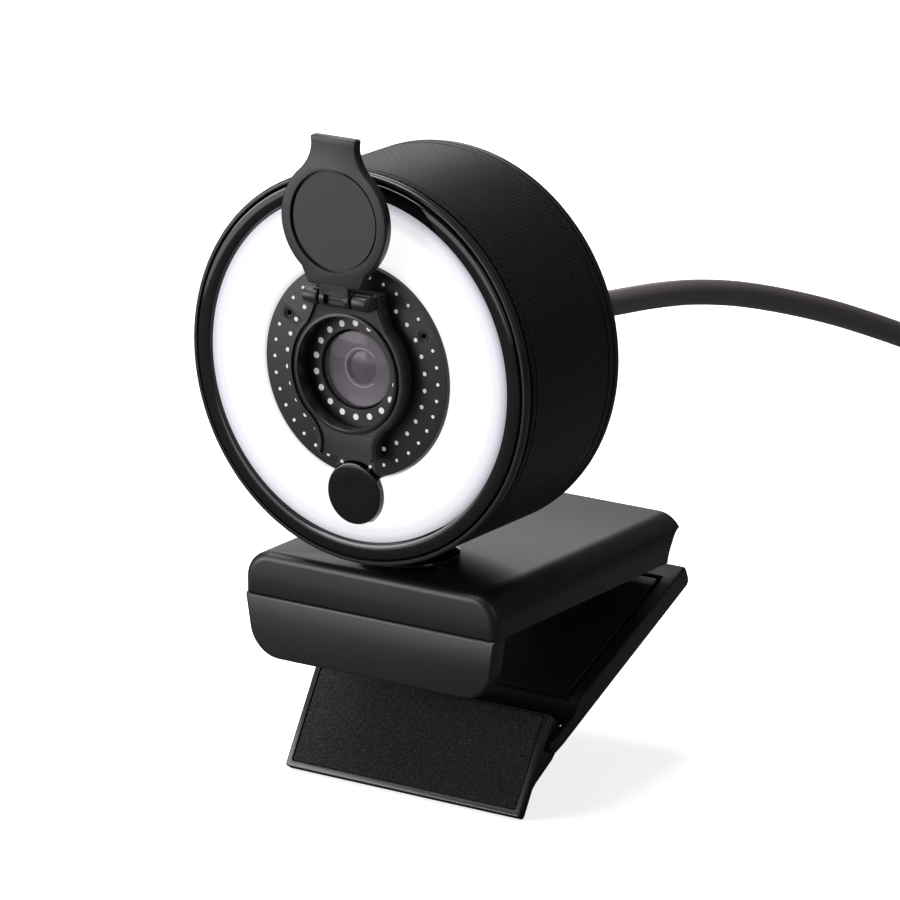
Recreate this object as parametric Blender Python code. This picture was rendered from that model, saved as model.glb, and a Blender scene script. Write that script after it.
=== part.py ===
"""Ring-light webcam on a folding monitor clip.

Sizes below are in millimetres and become metres when a mesh is made.
X runs across the clip, -Y is the way the camera looks, +Z is up.
The origin lies on the underside of the clip's top plate, where it rests on a monitor.
"""

import math

import bmesh
import bpy
from mathutils import Matrix, Vector

MM = 0.001

# facets on round pieces
BIG_ROUND = 48
MID_ROUND = 32
SMALL_ROUND = 20
HOLE_ROUND = 12

# gap between pieces that touch or nearly touch
GAP = 0.3

# head: a drum whose axis runs along Y; depths are counted back from its face
FACE_Y = -25.7
HEAD_Z = 40.3
HEAD_R = 31.0
SLEEVE_R = 30.8
DRUM_BORE_R = 29.0
BEZEL_IN_R = 27.55
BEZEL_OUT_R = 29.95
PANEL_R = 16.85
WINDOW_R = 6.0

# touch button and the two microphones, from the head's centre
BUTTON_DROP = 19.5
BUTTON_R = 4.9
MIC_X = 12.5
MIC_RISE = 7.2

# privacy cover
COVER_RING_R = 10.8
COVER_HOLE_R = 8.9
COVER_FRONT = -2.9
COVER_BACK = -0.3
HINGE_RISE = 12.2
HINGE_DEPTH = -4.6
FLAP_RISE = 24.5
FLAP_R = 9.7
FLAP_TOP = 37.5

# neck
NECK_Y = -11.3
NECK_R = 8.0
STEM_R = 4.0
TILT_Z = 15.3
TILT_PIN_R = 1.5

# clip top plate
PLATE_HALF = 23.7
PLATE_FRONT = -22.6
PLATE_REAR = 31.5
PLATE_TOP = 7.0
SHELL_WALL = 1.6
LIP_DEPTH = 3.2
LIP_BOTTOM = -10.2
TRIPOD_Y = 12.0

# rear hinge of the clip and the arm that hangs from it
ARM_HINGE = (32.4, -0.6)
SCOOP_R = 5.5
KNUCKLE_R = 2.6
ARM_HALF = 23.0
ARM_DEPTH = 3.5
ARM_SLOPE = math.radians(24.7)
ARM_HEEL = (34.86, -5.23)
ARM_PIN_R = 1.0

# foot
FOOT_HINGE_T = 42.8
FOOT_HINGE_H = 1.45
FOOT_LEAN = math.radians(31.0)
FOOT_HALF = 22.4
FOOT_BELOW = 12.8
FOOT_ABOVE = 4.2
FOOT_PIN_R = 0.6

# cable
CABLE_D = 4.3
FLOOR_Z = -32.0
EXIT_Z = 37.3
COIL_X = 22.0
COIL_Y = 193.0
COIL_MEAN_R = 24.0
COIL_HALF = 6.7
TIE_ANGLE = 45.0

# route of the cable's free stretch, chosen by hand, from the strain relief to the coil
CABLE_ROUTE = [
    (0.0, 16.2, 37.3),
    (0.0, 24.0, 37.1),
    (0.0, 36.0, 36.3),
    (0.0, 48.5, 34.9),
    (0.0, 60.0, 33.5),
    (0.0, 72.0, 31.5),
    (0.0, 86.0, 28.2),
    (0.0, 102.0, 23.4),
    (0.0, 120.0, 17.2),
    (0.0, 141.0, 9.0),
    (0.0, 156.0, 2.6),
    (0.2, 170.0, -3.6),
    (0.9, 182.0, -8.6),
    (2.1, 193.0, -12.3),
    (4.9, 203.0, -14.6),
    (10.6, 209.2, -15.6),
]

# short end over the coil's top, to the plug that lies on it
TAIL_ROUTE = [
    (49.7, 187.1, -15.6),
    (46.5, 178.9, -14.6),
    (42.1, 173.0, -14.0),
    (38.2, 169.8, -13.85),
    (33.4, 167.4, -13.85),
    (28.8, 166.6, -13.85),
]
PLUG_X = 28.0
PLUG_Y = 166.6
PLUG_Z = -13.85


def clear_scene():
    for obj in list(bpy.data.objects):
        bpy.data.objects.remove(obj, do_unlink=True)


def make_material(name, colour, roughness, metallic=0.0):
    mat = bpy.data.materials.new(name)
    mat.use_nodes = True
    shader = mat.node_tree.nodes["Principled BSDF"]
    shader.inputs["Base Color"].default_value = (*colour, 1.0)
    shader.inputs["Roughness"].default_value = roughness
    shader.inputs["Metallic"].default_value = metallic
    mat.diffuse_color = (*colour, 1.0)
    return mat


def add_object(name, bm, mat):
    """A mesh object from a bmesh whose sizes are in millimetres, scaled to metres as an object."""
    bmesh.ops.recalc_face_normals(bm, faces=bm.faces)
    mesh = bpy.data.meshes.new(name)
    bm.to_mesh(mesh)
    bm.free()
    mesh.shade_smooth()
    mesh.set_sharp_from_angle(angle=math.radians(35))
    obj = bpy.data.objects.new(name, mesh)
    obj.scale = (MM, MM, MM)
    bpy.context.scene.collection.objects.link(obj)
    if mat:
        mesh.materials.append(mat)
    return obj


def helper(obj):
    """Marks an object as a cutter or an addition that a Boolean reads."""
    obj.hide_render = True
    obj.display_type = "WIRE"
    return obj


def boolean(obj, other, operation):
    modifier = obj.modifiers.new(operation.title(), "BOOLEAN")
    modifier.operation = operation
    modifier.solver = "EXACT"
    modifier.object = helper(other)
    return obj


def cut(obj, *others):
    for other in others:
        boolean(obj, other, "DIFFERENCE")
    return obj


def add(obj, *others):
    for other in others:
        boolean(obj, other, "UNION")
    return obj


def closed_cuts(obj):
    """Facets of two rounds nearly meet on this piece, where only the other solver keeps it closed."""
    for modifier in obj.modifiers:
        modifier.solver = "MANIFOLD"
    return obj


# outlines: lists of two-number points


def arc(cx, cy, r, start, end, steps):
    """Points on an arc, angles in degrees."""
    points = []
    for i in range(steps + 1):
        a = math.radians(start + (end - start) * i / steps)
        points.append((cx + r * math.cos(a), cy + r * math.sin(a)))
    return points


def circle(cx, cy, r, steps=SMALL_ROUND):
    return arc(cx, cy, r, 0, 360, steps)[:-1]


def rounded_box(x0, y0, x1, y1, r, steps=4):
    """A rectangle with four round corners."""
    points = arc(x1 - r, y0 + r, r, -90, 0, steps)
    points += arc(x1 - r, y1 - r, r, 0, 90, steps)
    points += arc(x0 + r, y1 - r, r, 90, 180, steps)
    points += arc(x0 + r, y0 + r, r, 180, 270, steps)
    return points


def box_outline(x0, y0, x1, y1):
    return [(x0, y0), (x1, y0), (x1, y1), (x0, y1)]


# solids


def slab(name, outline, low, high, place, mat=None, soft_edge=None):
    """An outline made into a solid between two levels; place turns (a, b, level) into x, y, z.
    soft_edge is (test, width, segments): edges whose two ends pass the test are rounded."""
    bm = bmesh.new()
    face = bm.faces.new([bm.verts.new(Vector(place(a, b, low))) for a, b in outline])
    made = bmesh.ops.extrude_face_region(bm, geom=[face])
    moved = [item for item in made["geom"] if isinstance(item, bmesh.types.BMVert)]
    step = Vector(place(0, 0, high)) - Vector(place(0, 0, low))
    bmesh.ops.translate(bm, vec=step, verts=moved)
    if soft_edge:
        test, width, segments = soft_edge
        edges = [edge for edge in bm.edges if all(test(v.co) for v in edge.verts)]
        bmesh.ops.bevel(bm, geom=edges, offset=width, segments=segments, profile=0.5, affect="EDGES")
    return add_object(name, bm, mat)


def across(y, z, x):
    """A side outline (y, z) pushed out along X."""
    return (x, y, z)


def facing(x, z, y):
    """A front outline (x, z) pushed out along Y."""
    return (x, y, z)


def upright(x, y, z):
    """A plan outline (x, y) pushed out along Z."""
    return (x, y, z)


def block(name, x0, x1, y0, y1, z0, z1, mat=None):
    return slab(name, box_outline(x0, y0, x1, y1), z0, z1, upright, mat)


def turned(name, profile, centre, axis, segments, mat=None):
    """A closed profile of (radius, depth) spun about an axis through centre."""
    bm = bmesh.new()
    depth = Vector(axis)
    side = Vector((0, 0, 1)) if abs(depth.z) < 0.5 else Vector((1, 0, 0))
    verts = [bm.verts.new(Vector(centre) + side * r + depth * s) for r, s in profile]
    edges = []
    for i, vert in enumerate(verts):
        following = verts[(i + 1) % len(verts)]
        if profile[i][0] > 0 or profile[(i + 1) % len(verts)][0] > 0:
            edges.append(bm.edges.new((vert, following)))
    bmesh.ops.spin(
        bm,
        geom=edges,
        cent=centre,
        axis=depth,
        angle=math.tau,
        steps=segments,
        use_merge=True,
        use_duplicate=False,
    )
    bmesh.ops.remove_doubles(bm, verts=bm.verts, dist=1e-4)
    return add_object(name, bm, mat)


def rod(name, r, centre, axis, low, high, mat=None, segments=SMALL_ROUND):
    """A plain cylinder between two depths along an axis."""
    profile = [(0, low), (r, low), (r, high), (0, high)]
    return turned(name, profile, centre, axis, segments, mat)


def head_turned(name, profile, mat=None, segments=BIG_ROUND, x=0.0, rise=0.0):
    """A turned piece of the head: depth 0 is the face."""
    return turned(name, profile, (x, FACE_Y, HEAD_Z + rise), (0, 1, 0), segments, mat)


def head_rod(name, r, x, rise, low, high, mat=None, segments=SMALL_ROUND):
    profile = [(0, low), (r, low), (r, high), (0, high)]
    return head_turned(name, profile, mat, segments, x, rise)


def head_slab(name, outline, low, high, mat=None):
    """A front outline, from the head's centre, between two depths."""
    moved = [(x, HEAD_Z + z) for x, z in outline]
    return slab(name, moved, FACE_Y + low, FACE_Y + high, facing, mat)


def make_materials():
    return {
        "shell": make_material("matt_black_abs", (0.022, 0.020, 0.021), 0.45),
        "sleeve": make_material("textured_black_abs", (0.014, 0.013, 0.013), 0.6),
        "gloss": make_material("gloss_black_abs", (0.010, 0.010, 0.011), 0.15),
        "panel": make_material("matt_black_panel", (0.010, 0.009, 0.010), 0.7),
        "cover": make_material("satin_black_abs", (0.045, 0.040, 0.042), 0.4),
        "diffuser": make_material("opal_acrylic", (0.9, 0.9, 0.92), 0.4),
        "white": make_material("white_abs", (0.85, 0.85, 0.83), 0.5),
        "glass": make_material("lens_glass", (0.10, 0.10, 0.11), 0.05),
        "board": make_material("green_board", (0.02, 0.10, 0.05), 0.5),
        "chip": make_material("black_resin", (0.02, 0.02, 0.02), 0.5),
        "steel": make_material("zinc_plated_steel", (0.6, 0.6, 0.6), 0.3, 1.0),
        "brass": make_material("brass", (0.72, 0.52, 0.22), 0.3, 1.0),
        "foam": make_material("eva_foam", (0.016, 0.014, 0.015), 0.95),
        "rubber": make_material("black_rubber", (0.02, 0.02, 0.02), 0.8),
        "cable": make_material("black_pvc", (0.05, 0.045, 0.05), 0.45),
    }


# head


def make_drum_shell(mats):
    """The outer casing: rounded front lip, a groove, then the straight sleeve."""
    profile = [
        (BEZEL_OUT_R + GAP, 3.6),
        (BEZEL_OUT_R + GAP, 0.5),
        (30.5, 0.2),
        (30.8, 0.3),
        (HEAD_R, 0.7),
        (HEAD_R, 1.5),
        (30.85, 1.75),
        (30.5, 1.8),
        (30.5, 2.4),
        (SLEEVE_R, 2.5),
        (SLEEVE_R, 24.9),
        (30.5, 25.2),
        (DRUM_BORE_R, 25.2),
        (DRUM_BORE_R, 3.6),
    ]
    shell = head_turned("drum_shell", profile, mats["sleeve"])
    for i, (x, rise) in enumerate(rear_screw_places()):
        add(shell, head_rod(f"shell_boss_{i}", 2.8, x, rise, 17.0, 22.9, segments=HOLE_ROUND))
        cut(shell, head_rod(f"shell_boss_hole_{i}", 1.25, x, rise, 16.0, 24.0, segments=HOLE_ROUND))
    slot = block("neck_slot", -4.6, 4.6, NECK_Y - 7.0, NECK_Y + 7.0, 7.0, 13.6)
    cut(shell, slot)
    return [closed_cuts(shell)]


def rear_screw_places():
    """Four screws on one circle, at the corners of a square."""
    return [(26.7 * math.cos(a), 26.7 * math.sin(a)) for a in quarter_angles()]


def quarter_angles():
    return [math.radians(45 + 90 * i) for i in range(4)]


def make_bezel(mats):
    profile = [
        (BEZEL_IN_R, 0.3),
        (BEZEL_IN_R + 0.2, 0.0),
        (BEZEL_OUT_R - 0.25, 0.0),
        (BEZEL_OUT_R, 0.25),
        (BEZEL_OUT_R, 3.2),
        (BEZEL_IN_R, 3.2),
    ]
    return [head_turned("front_bezel", profile, mats["gloss"])]


def button_clearance(name):
    return head_rod(name, BUTTON_R + 0.25, 0, -BUTTON_DROP, -1.5, 3.0, segments=MID_ROUND)


def make_light(mats):
    """The white ring, the tray behind it and the board with its LEDs."""
    profile = [
        (PANEL_R + 0.3, 0.35),
        (PANEL_R + 0.5, 0.15),
        (BEZEL_IN_R - 0.5, 0.15),
        (BEZEL_IN_R - 0.3, 0.35),
        (BEZEL_IN_R - 0.3, 1.8),
        (PANEL_R + 0.3, 1.8),
    ]
    diffuser = head_turned("light_diffuser", profile, mats["diffuser"])
    cut(diffuser, button_clearance("diffuser_notch"))
    tray_profile = [
        (16.9, 2.1),
        (17.5, 2.1),
        (17.5, 6.6),
        (26.8, 6.6),
        (26.8, 2.1),
        (27.3, 2.1),
        (27.3, 7.5),
        (16.9, 7.5),
    ]
    chamber = head_turned("light_chamber", tray_profile, mats["white"], MID_ROUND)
    board_profile = [(17.8, 5.3), (26.5, 5.3), (26.5, 6.3), (17.8, 6.3)]
    board = head_turned("led_board", board_profile, mats["board"], MID_ROUND)
    for i in range(16):
        angle = math.tau * (i + 0.5) / 16
        x, z = 22.0 * math.cos(angle), 22.0 * math.sin(angle)
        chip = head_slab(f"led_{i}", box_outline(x - 1.4, z - 1.4, x + 1.4, z + 1.4), 4.4, 5.5)
        add(board, chip)
    return [diffuser, chamber, board]


def make_centre(mats):
    """The black disc round the lens with the microphones behind it."""
    profile = [
        (WINDOW_R + 0.3, 0.0),
        (PANEL_R - 0.2, 0.0),
        (PANEL_R, 0.2),
        (PANEL_R, 1.6),
        (WINDOW_R + 0.3, 1.6),
    ]
    panel = head_turned("centre_panel", profile, mats["panel"], 48)
    cut(panel, button_clearance("panel_notch"))
    pieces = [panel]
    for side, x in (("left", -MIC_X), ("right", MIC_X)):
        cut(panel, head_rod(f"mic_hole_{side}", 0.55, x, MIC_RISE, -1.0, 3.0, segments=10))
        outline = rounded_box(x - 1.9, MIC_RISE - 1.4, x + 1.9, MIC_RISE + 1.4, 0.4, 2)
        pieces.append(head_slab(f"microphone_{side}", outline, 1.9, 3.0, mats["steel"]))
    closed_cuts(panel)
    return pieces


def make_lens(mats):
    """Window, barrel and glass, then the holder, sensor and camera board behind them."""
    window_profile = [(0, 0.15), (WINDOW_R - 0.2, 0.15), (WINDOW_R, 0.35), (WINDOW_R, 1.0), (0, 1.0)]
    window = head_turned("lens_window", window_profile, mats["glass"], MID_ROUND)
    barrel_profile = [
        (4.7, 1.3),
        (5.6, 1.3),
        (5.6, 12.0),
        (1.2, 12.0),
        (1.2, 10.0),
        (3.3, 8.6),
        (3.3, 4.6),
        (3.9, 3.0),
    ]
    barrel = head_turned("lens_barrel", barrel_profile, mats["chip"], 24)
    glass_profile = [(0, 3.9), (1.6, 4.1), (3.0, 5.0), (3.0, 6.6), (0, 7.4)]
    glass = head_turned("lens_element", glass_profile, mats["glass"], 24)
    holder = head_slab("lens_holder", rounded_box(-7, -7, 7, 7, 1.0, 2), 12.3, 16.0, mats["chip"])
    cut(holder, head_slab("holder_bore", box_outline(-4.5, -4.5, 4.5, 4.5), 11.0, 17.0))
    sensor = head_slab("image_sensor", box_outline(-3.8, -3.2, 3.8, 3.2), 15.0, 16.0, mats["glass"])
    board = head_slab("camera_board", rounded_box(-13, -12, 13, 12, 1.5, 2), 16.3, 17.3, mats["board"])
    return [window, barrel, glass, holder, sensor, board]


def make_main_board(mats):
    outline = circle(0, 0, 22.8, 24)
    board = head_slab("main_board", outline, 20.2, 21.2, mats["board"])
    add(board, head_slab("controller_chip", box_outline(-4, 3, 4, 11), 19.2, 20.5))
    add(board, head_slab("cable_header", box_outline(-4.5, -9, 4.5, -4.5), 20.9, 23.4))
    return [board]


def make_button(mats):
    """The touch button and the switch that it presses."""
    profile = [
        (0, -0.75),
        (BUTTON_R - 0.35, -0.75),
        (BUTTON_R, -0.4),
        (BUTTON_R, 0.9),
        (1.5, 0.9),
        (1.5, 2.4),
        (0, 2.4),
    ]
    button = head_turned("touch_button", profile, mats["gloss"], MID_ROUND, rise=-BUTTON_DROP)
    z = -BUTTON_DROP - 0.2
    outline = box_outline(-1.6, z - 1.6, 1.6, z + 1.6)
    switch = head_slab("button_switch", outline, 2.95, 4.0, mats["steel"])
    return [button], [switch]


def make_rear_cover(mats):
    """The back of the drum, with its spigot, the cable hole and four countersunk screws."""
    profile = [
        (0, 25.5),
        (27.2, 25.5),
        (27.2, 23.2),
        (28.7, 23.2),
        (28.7, 25.5),
        (SLEEVE_R - 0.1, 25.5),
        (SLEEVE_R, 25.7),
        (SLEEVE_R, 26.3),
        (30.3, 27.0),
        (29.6, 27.2),
        (22.0, 27.2),
        (21.6, 26.9),
        (0, 26.9),
    ]
    cover = head_turned("rear_cover", profile, mats["shell"])
    cut(cover, head_rod("gland_hole", 3.3, 0, EXIT_Z - HEAD_Z, 24.0, 29.0))
    pieces = [cover]
    for i, (x, rise) in enumerate(rear_screw_places()):
        cut(cover, head_rod(f"rear_counterbore_{i}", 2.2, x, rise, 26.3, 29.0, segments=HOLE_ROUND))
        cut(cover, head_rod(f"rear_screw_hole_{i}", 1.25, x, rise, 22.0, 27.0, segments=HOLE_ROUND))
        screw_profile = [(0, 18.5), (0.95, 18.5), (0.95, 26.55), (1.9, 26.55), (1.9, 27.1), (0, 27.1)]
        name = f"rear_screw_{i + 1}"
        pieces.append(head_turned(name, screw_profile, mats["steel"], 12, x, rise))
    closed_cuts(cover)
    return pieces


def make_strain_relief(mats):
    """A ribbed taper that holds the cable where it leaves the rear cover."""
    profile = [(0, 24.2), (3.9, 24.2), (3.9, 25.2), (3.0, 25.2), (3.0, 27.3), (4.4, 27.5), (4.4, 29.2)]
    for i in range(5):
        start = 29.2 + 2.4 * i
        outer = 3.9 - 0.22 * i
        profile += [(outer - 0.5, start + 0.3), (outer - 0.5, start + 0.9)]
        profile += [(outer, start + 1.1), (outer - 0.08, start + 2.1)]
    profile += [(2.5, 41.6), (0, 41.6)]
    relief = head_turned("strain_relief", profile, mats["rubber"], 16, rise=EXIT_Z - HEAD_Z)
    return [relief]


def make_tilt_bracket(mats):
    """The cheeks inside the drum that ride on the tilt pin, and the pin's washers."""
    y0, y1 = NECK_Y - 5.0, NECK_Y + 5.0
    bracket = block("tilt_bracket", -6.3, 6.3, y0, y1, 12.4, 21.0, mats["steel"])
    cut(bracket, block("bracket_gap", -4.1, 4.1, y0 - 1, y1 + 1, 11.0, 19.6))
    cut(bracket, rod("bracket_bore", TILT_PIN_R + 0.06, (0, NECK_Y, TILT_Z), (1, 0, 0), -8, 8))
    pin = rod("tilt_pin", TILT_PIN_R, (0, NECK_Y, TILT_Z), (1, 0, 0), -6.6, 6.6, mats["steel"])
    pieces = [bracket, pin]
    for side, x in (("left", -3.95), ("right", 3.35)):
        r = TILT_PIN_R + 0.15
        ring = [(r, x), (3.0, x), (3.0, x + 0.6), (r, x + 0.6)]
        name = f"tilt_washer_{side}"
        pieces.append(turned(name, ring, (0, NECK_Y, TILT_Z), (1, 0, 0), SMALL_ROUND, mats["rubber"]))
    return pieces


# privacy cover


def flared_tab(end_half, root_angle, ring_r, end_rise, waist, mirrored=1):
    """A finger tab that grows out of a round: concave flanks that open again at the end."""
    root_x = ring_r * math.cos(math.radians(root_angle))
    root_z = ring_r * math.sin(math.radians(root_angle))
    right = []
    for i in range(7):
        k = i / 6
        x = root_x * (1 - k) ** 2 + 2 * waist * k * (1 - k) + end_half * k * k
        right.append((x, mirrored * (root_z + (end_rise - root_z) * k)))
    left = [(-x, z) for x, z in reversed(right)]
    return right + left


def make_cover_base(mats):
    """A ring stuck round the lens, with a tab below and a two-eyed hinge above."""
    profile = [
        (COVER_HOLE_R - 0.5, COVER_FRONT),
        (COVER_RING_R - 0.4, COVER_FRONT),
        (COVER_RING_R, COVER_FRONT + 0.4),
        (COVER_RING_R, COVER_BACK),
        (COVER_HOLE_R - 0.5, COVER_BACK),
    ]
    base = head_turned("cover_base", profile, mats["cover"], 48)
    tab = flared_tab(5.4, 42, COVER_RING_R - 0.3, 13.3, 4.4, mirrored=-1)
    add(base, head_slab("cover_base_tab", tab, COVER_FRONT + 0.5, COVER_BACK - 0.15))
    web = [(-6.1, 8.6), (6.1, 8.6), (6.1, HINGE_RISE + 0.9), (-6.1, HINGE_RISE + 0.9)]
    add(base, head_slab("cover_web", web, COVER_FRONT + 0.1, COVER_BACK - 0.1))
    cut(base, head_rod("cover_opening", COVER_HOLE_R, 0, 0, -6.0, 1.0, segments=48))
    hinge_y, hinge_z = FACE_Y + HINGE_DEPTH, HEAD_Z + HINGE_RISE
    for side, x in (("left", -5.95), ("right", 3.15)):
        eye = arc(hinge_y, hinge_z, 1.3, 90, 270, 8)
        eye += [(FACE_Y + COVER_FRONT + 0.8, hinge_z - 1.3), (FACE_Y + COVER_FRONT + 0.8, hinge_z + 0.7)]
        add(base, slab(f"cover_eye_{side}", eye, x, x + 2.8, across))
    cut(base, rod("cover_pin_bore", 0.61, (0, hinge_y, hinge_z), (1, 0, 0), -8, 8, segments=12))
    closed_cuts(base)
    pin = rod("cover_pin", 0.55, (0, hinge_y, hinge_z), (1, 0, 0), -5.8, 5.8, mats["steel"], 12)
    return [base, pin]


def make_cover_flap(mats):
    """The disc that swings down over the lens, here swung up and out of the way."""
    low, high = -5.8, -4.2
    flap = head_slab("cover_flap", circle(0, FLAP_RISE, FLAP_R, 40), low, high, mats["cover"])
    tab = flared_tab(4.4, 52, FLAP_R - 0.3, FLAP_TOP - FLAP_RISE, 2.6)
    add(flap, head_slab("flap_tab", [(x, z + FLAP_RISE) for x, z in tab], low + 0.05, high - 0.05))
    neck = [(-2.85, HINGE_RISE), (2.85, HINGE_RISE), (2.85, 14.4), (4.6, 16.6), (-4.6, 16.6), (-2.85, 14.4)]
    add(flap, head_slab("flap_neck", neck, low + 0.05, high - 0.05))
    hinge_y, hinge_z = FACE_Y + HINGE_DEPTH, HEAD_Z + HINGE_RISE
    add(flap, rod("flap_eye", 1.3, (0, hinge_y, hinge_z), (1, 0, 0), -2.85, 2.85))
    cut(flap, rod("flap_pin_bore", 0.61, (0, hinge_y, hinge_z), (1, 0, 0), -8, 8, segments=12))
    cut(flap, head_rod("flap_recess", 8.0, 0, FLAP_RISE, -7.0, low + 0.35, segments=40))
    return [flap]


# neck


def make_neck(mats):
    """The round post with the tilt lug above it and the swivel stem below, and its fixings."""
    centre = (0, NECK_Y, 0)
    profile = [
        (0, 5.2),
        (STEM_R, 5.2),
        (STEM_R, PLATE_TOP + 0.3),
        (NECK_R, PLATE_TOP + 0.3),
        (NECK_R, 7.85),
        (7.6, 8.1),
        (4.4, 8.5),
        (0, 8.5),
    ]
    post = turned("neck_post", profile, centre, (0, 0, 1), MID_ROUND, mats["gloss"])
    lug = arc(NECK_Y, TILT_Z, 3.4, 0, 180, 10) + [(NECK_Y - 3.4, 8.2), (NECK_Y + 3.4, 8.2)]
    add(post, slab("neck_lug", lug, -3.2, 3.2, across))
    cut(post, rod("lug_bore", TILT_PIN_R + 0.06, (0, NECK_Y, TILT_Z), (1, 0, 0), -8, 8))
    cut(post, rod("stem_bore", 1.35, centre, (0, 0, 1), 4.0, 7.6))
    washer_profile = [(1.5, 4.3), (6.6, 4.3), (6.6, 4.95), (1.5, 4.95)]
    washer = turned("swivel_washer", washer_profile, centre, (0, 0, 1), 24, mats["steel"])
    screw_profile = [(0, 2.5), (2.4, 2.5), (2.4, 4.0), (1.1, 4.0), (1.1, 7.3), (0, 7.3)]
    screw = turned("swivel_screw", screw_profile, centre, (0, 0, 1), 16, mats["steel"])
    return [post, washer, screw]


# clip


def plate_front_outline():
    """The top plate from the front: flat top, large round shoulders, small lower edges."""
    points = [(-PLATE_HALF + 0.3, GAP), (PLATE_HALF - 0.3, GAP), (PLATE_HALF, GAP + 0.4)]
    shoulder = 4.6
    points += arc(PLATE_HALF - shoulder, PLATE_TOP - shoulder, shoulder, 0, 90, 8)
    points += arc(-PLATE_HALF + shoulder, PLATE_TOP - shoulder, shoulder, 90, 180, 8)
    points += [(-PLATE_HALF, GAP + 0.4)]
    return points


def make_top_shell(mats):
    def front_rim(co):
        return co.y < PLATE_FRONT + 0.01 and co.z > GAP + 0.2

    shell = slab(
        "clip_top_shell",
        plate_front_outline(),
        PLATE_FRONT,
        PLATE_REAR,
        facing,
        mats["shell"],
        (front_rim, 1.4, 4),
    )
    inner = PLATE_HALF - SHELL_WALL
    ceiling = PLATE_TOP - SHELL_WALL
    cut(shell, block("shell_hollow", -inner, inner, PLATE_FRONT + SHELL_WALL, 25.2, -2, ceiling))
    cut(shell, rod("shell_scoop", SCOOP_R, (0, *ARM_HINGE), (1, 0, 0), -30, 30, segments=32))
    cut(shell, rod("swivel_hole", STEM_R + 0.15, (0, NECK_Y, 0), (0, 0, 1), 3, 9))
    for i, (x, y) in enumerate(base_screw_places()):
        pillar = turned(
            f"shell_pillar_{i}",
            [(0, 2.2), (2.3, 2.2), (2.3, 6.2), (0, 6.2)],
            (x, y, 0),
            (0, 0, 1),
            12,
        )
        add(shell, pillar)
        cut(shell, rod(f"pillar_hole_{i}", 1.2, (x, y, 0), (0, 0, 1), 0, 5.6, segments=12))
    hinge_y, hinge_z = ARM_HINGE
    for side, x in (("left", -9.0), ("right", 4.3)):
        lug = arc(hinge_y, hinge_z, KNUCKLE_R, -120, 90, 12)
        lug += [(26.2, 3.4), (26.2, 0.6), (hinge_y - 3.6, 0.6)]
        add(shell, slab(f"hinge_lug_{side}", lug, x, x + 4.7, across))
    cut(shell, rod("hinge_lug_bore", ARM_PIN_R + 0.06, (0, *ARM_HINGE), (1, 0, 0), -20, 20, segments=16))
    return [shell]


def base_screw_places():
    return [(x, y) for x in (-17.5, 17.5) for y in (-15.5, 20.5)]


def lip_outline():
    """The lip from the front: sides that draw in downwards and large round lower corners."""
    corner = 5.2
    low_half = PLATE_HALF - 1.6
    points = arc(low_half - corner, LIP_BOTTOM + corner, corner, -90, -8, 7)
    points += [(PLATE_HALF - 0.1, -0.6), (PLATE_HALF - 0.1, 0.0)]
    return points + [(-x, z) for x, z in reversed(points)]


def make_clip_base(mats):
    """The floor of the top plate in one piece with the front lip."""

    def front_rim(co):
        return co.y < PLATE_FRONT + 0.01 and co.z < -0.3

    lip_back = PLATE_FRONT + LIP_DEPTH
    base = slab(
        "clip_base",
        lip_outline(),
        PLATE_FRONT,
        lip_back,
        facing,
        mats["shell"],
        (front_rim, 0.8, 3),
    )
    inner = PLATE_HALF - SHELL_WALL - GAP
    front = PLATE_FRONT + SHELL_WALL + GAP
    step = block("base_step", -inner, inner, front, lip_back, -1.5, 1.8)
    floor = block("base_floor", -inner, inner, front, 24.9, 0.0, 1.8)
    boss = turned(
        "tripod_boss",
        [(0, 0.5), (6.0, 0.5), (6.0, 4.8), (0, 4.8)],
        (0, TRIPOD_Y, 0),
        (0, 0, 1),
        24,
    )
    add(base, step, floor, boss)
    cut(base, rod("insert_pocket", 4.6, (0, TRIPOD_Y, 0), (0, 0, 1), -1, 4.1, segments=24))
    pieces = [base]
    for i, (x, y) in enumerate(base_screw_places()):
        cut(base, rod(f"base_screw_hole_{i}", 1.2, (x, y, 0), (0, 0, 1), -1, 3, segments=12))
        cut(base, rod(f"base_counterbore_{i}", 2.1, (x, y, 0), (0, 0, 1), -1, 0.8, segments=16))
        profile = [(0, 0.1), (1.8, 0.1), (1.8, 0.55), (0.9, 0.55), (0.9, 5.2), (0, 5.2)]
        name = f"base_screw_{i + 1}"
        pieces.append(turned(name, profile, (x, y, 0), (0, 0, 1), 12, mats["steel"]))
    insert_profile = [(3.1, 0.0), (4.3, 0.0), (4.3, 3.8), (3.1, 3.8)]
    centre = (0, TRIPOD_Y, 0)
    pieces.append(turned("tripod_insert", insert_profile, centre, (0, 0, 1), 24, mats["brass"]))
    pad_outline = rounded_box(-19.5, -8.6, 19.5, -1.6, 1.5, 3)
    pad_low = lip_back + 0.2
    pieces.append(slab("lip_pad", pad_outline, pad_low, pad_low + 1.0, facing, mats["foam"]))
    return pieces


# arm


def on_arm(t, h):
    """A point in the arm's own side view: t runs down from the heel, h up from its underside."""
    c, s = math.cos(ARM_SLOPE), math.sin(ARM_SLOPE)
    return (ARM_HEEL[0] - t * c - h * s, ARM_HEEL[1] - t * s + h * c)


def arm_side(points):
    return [on_arm(t, h) for t, h in points]


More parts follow.
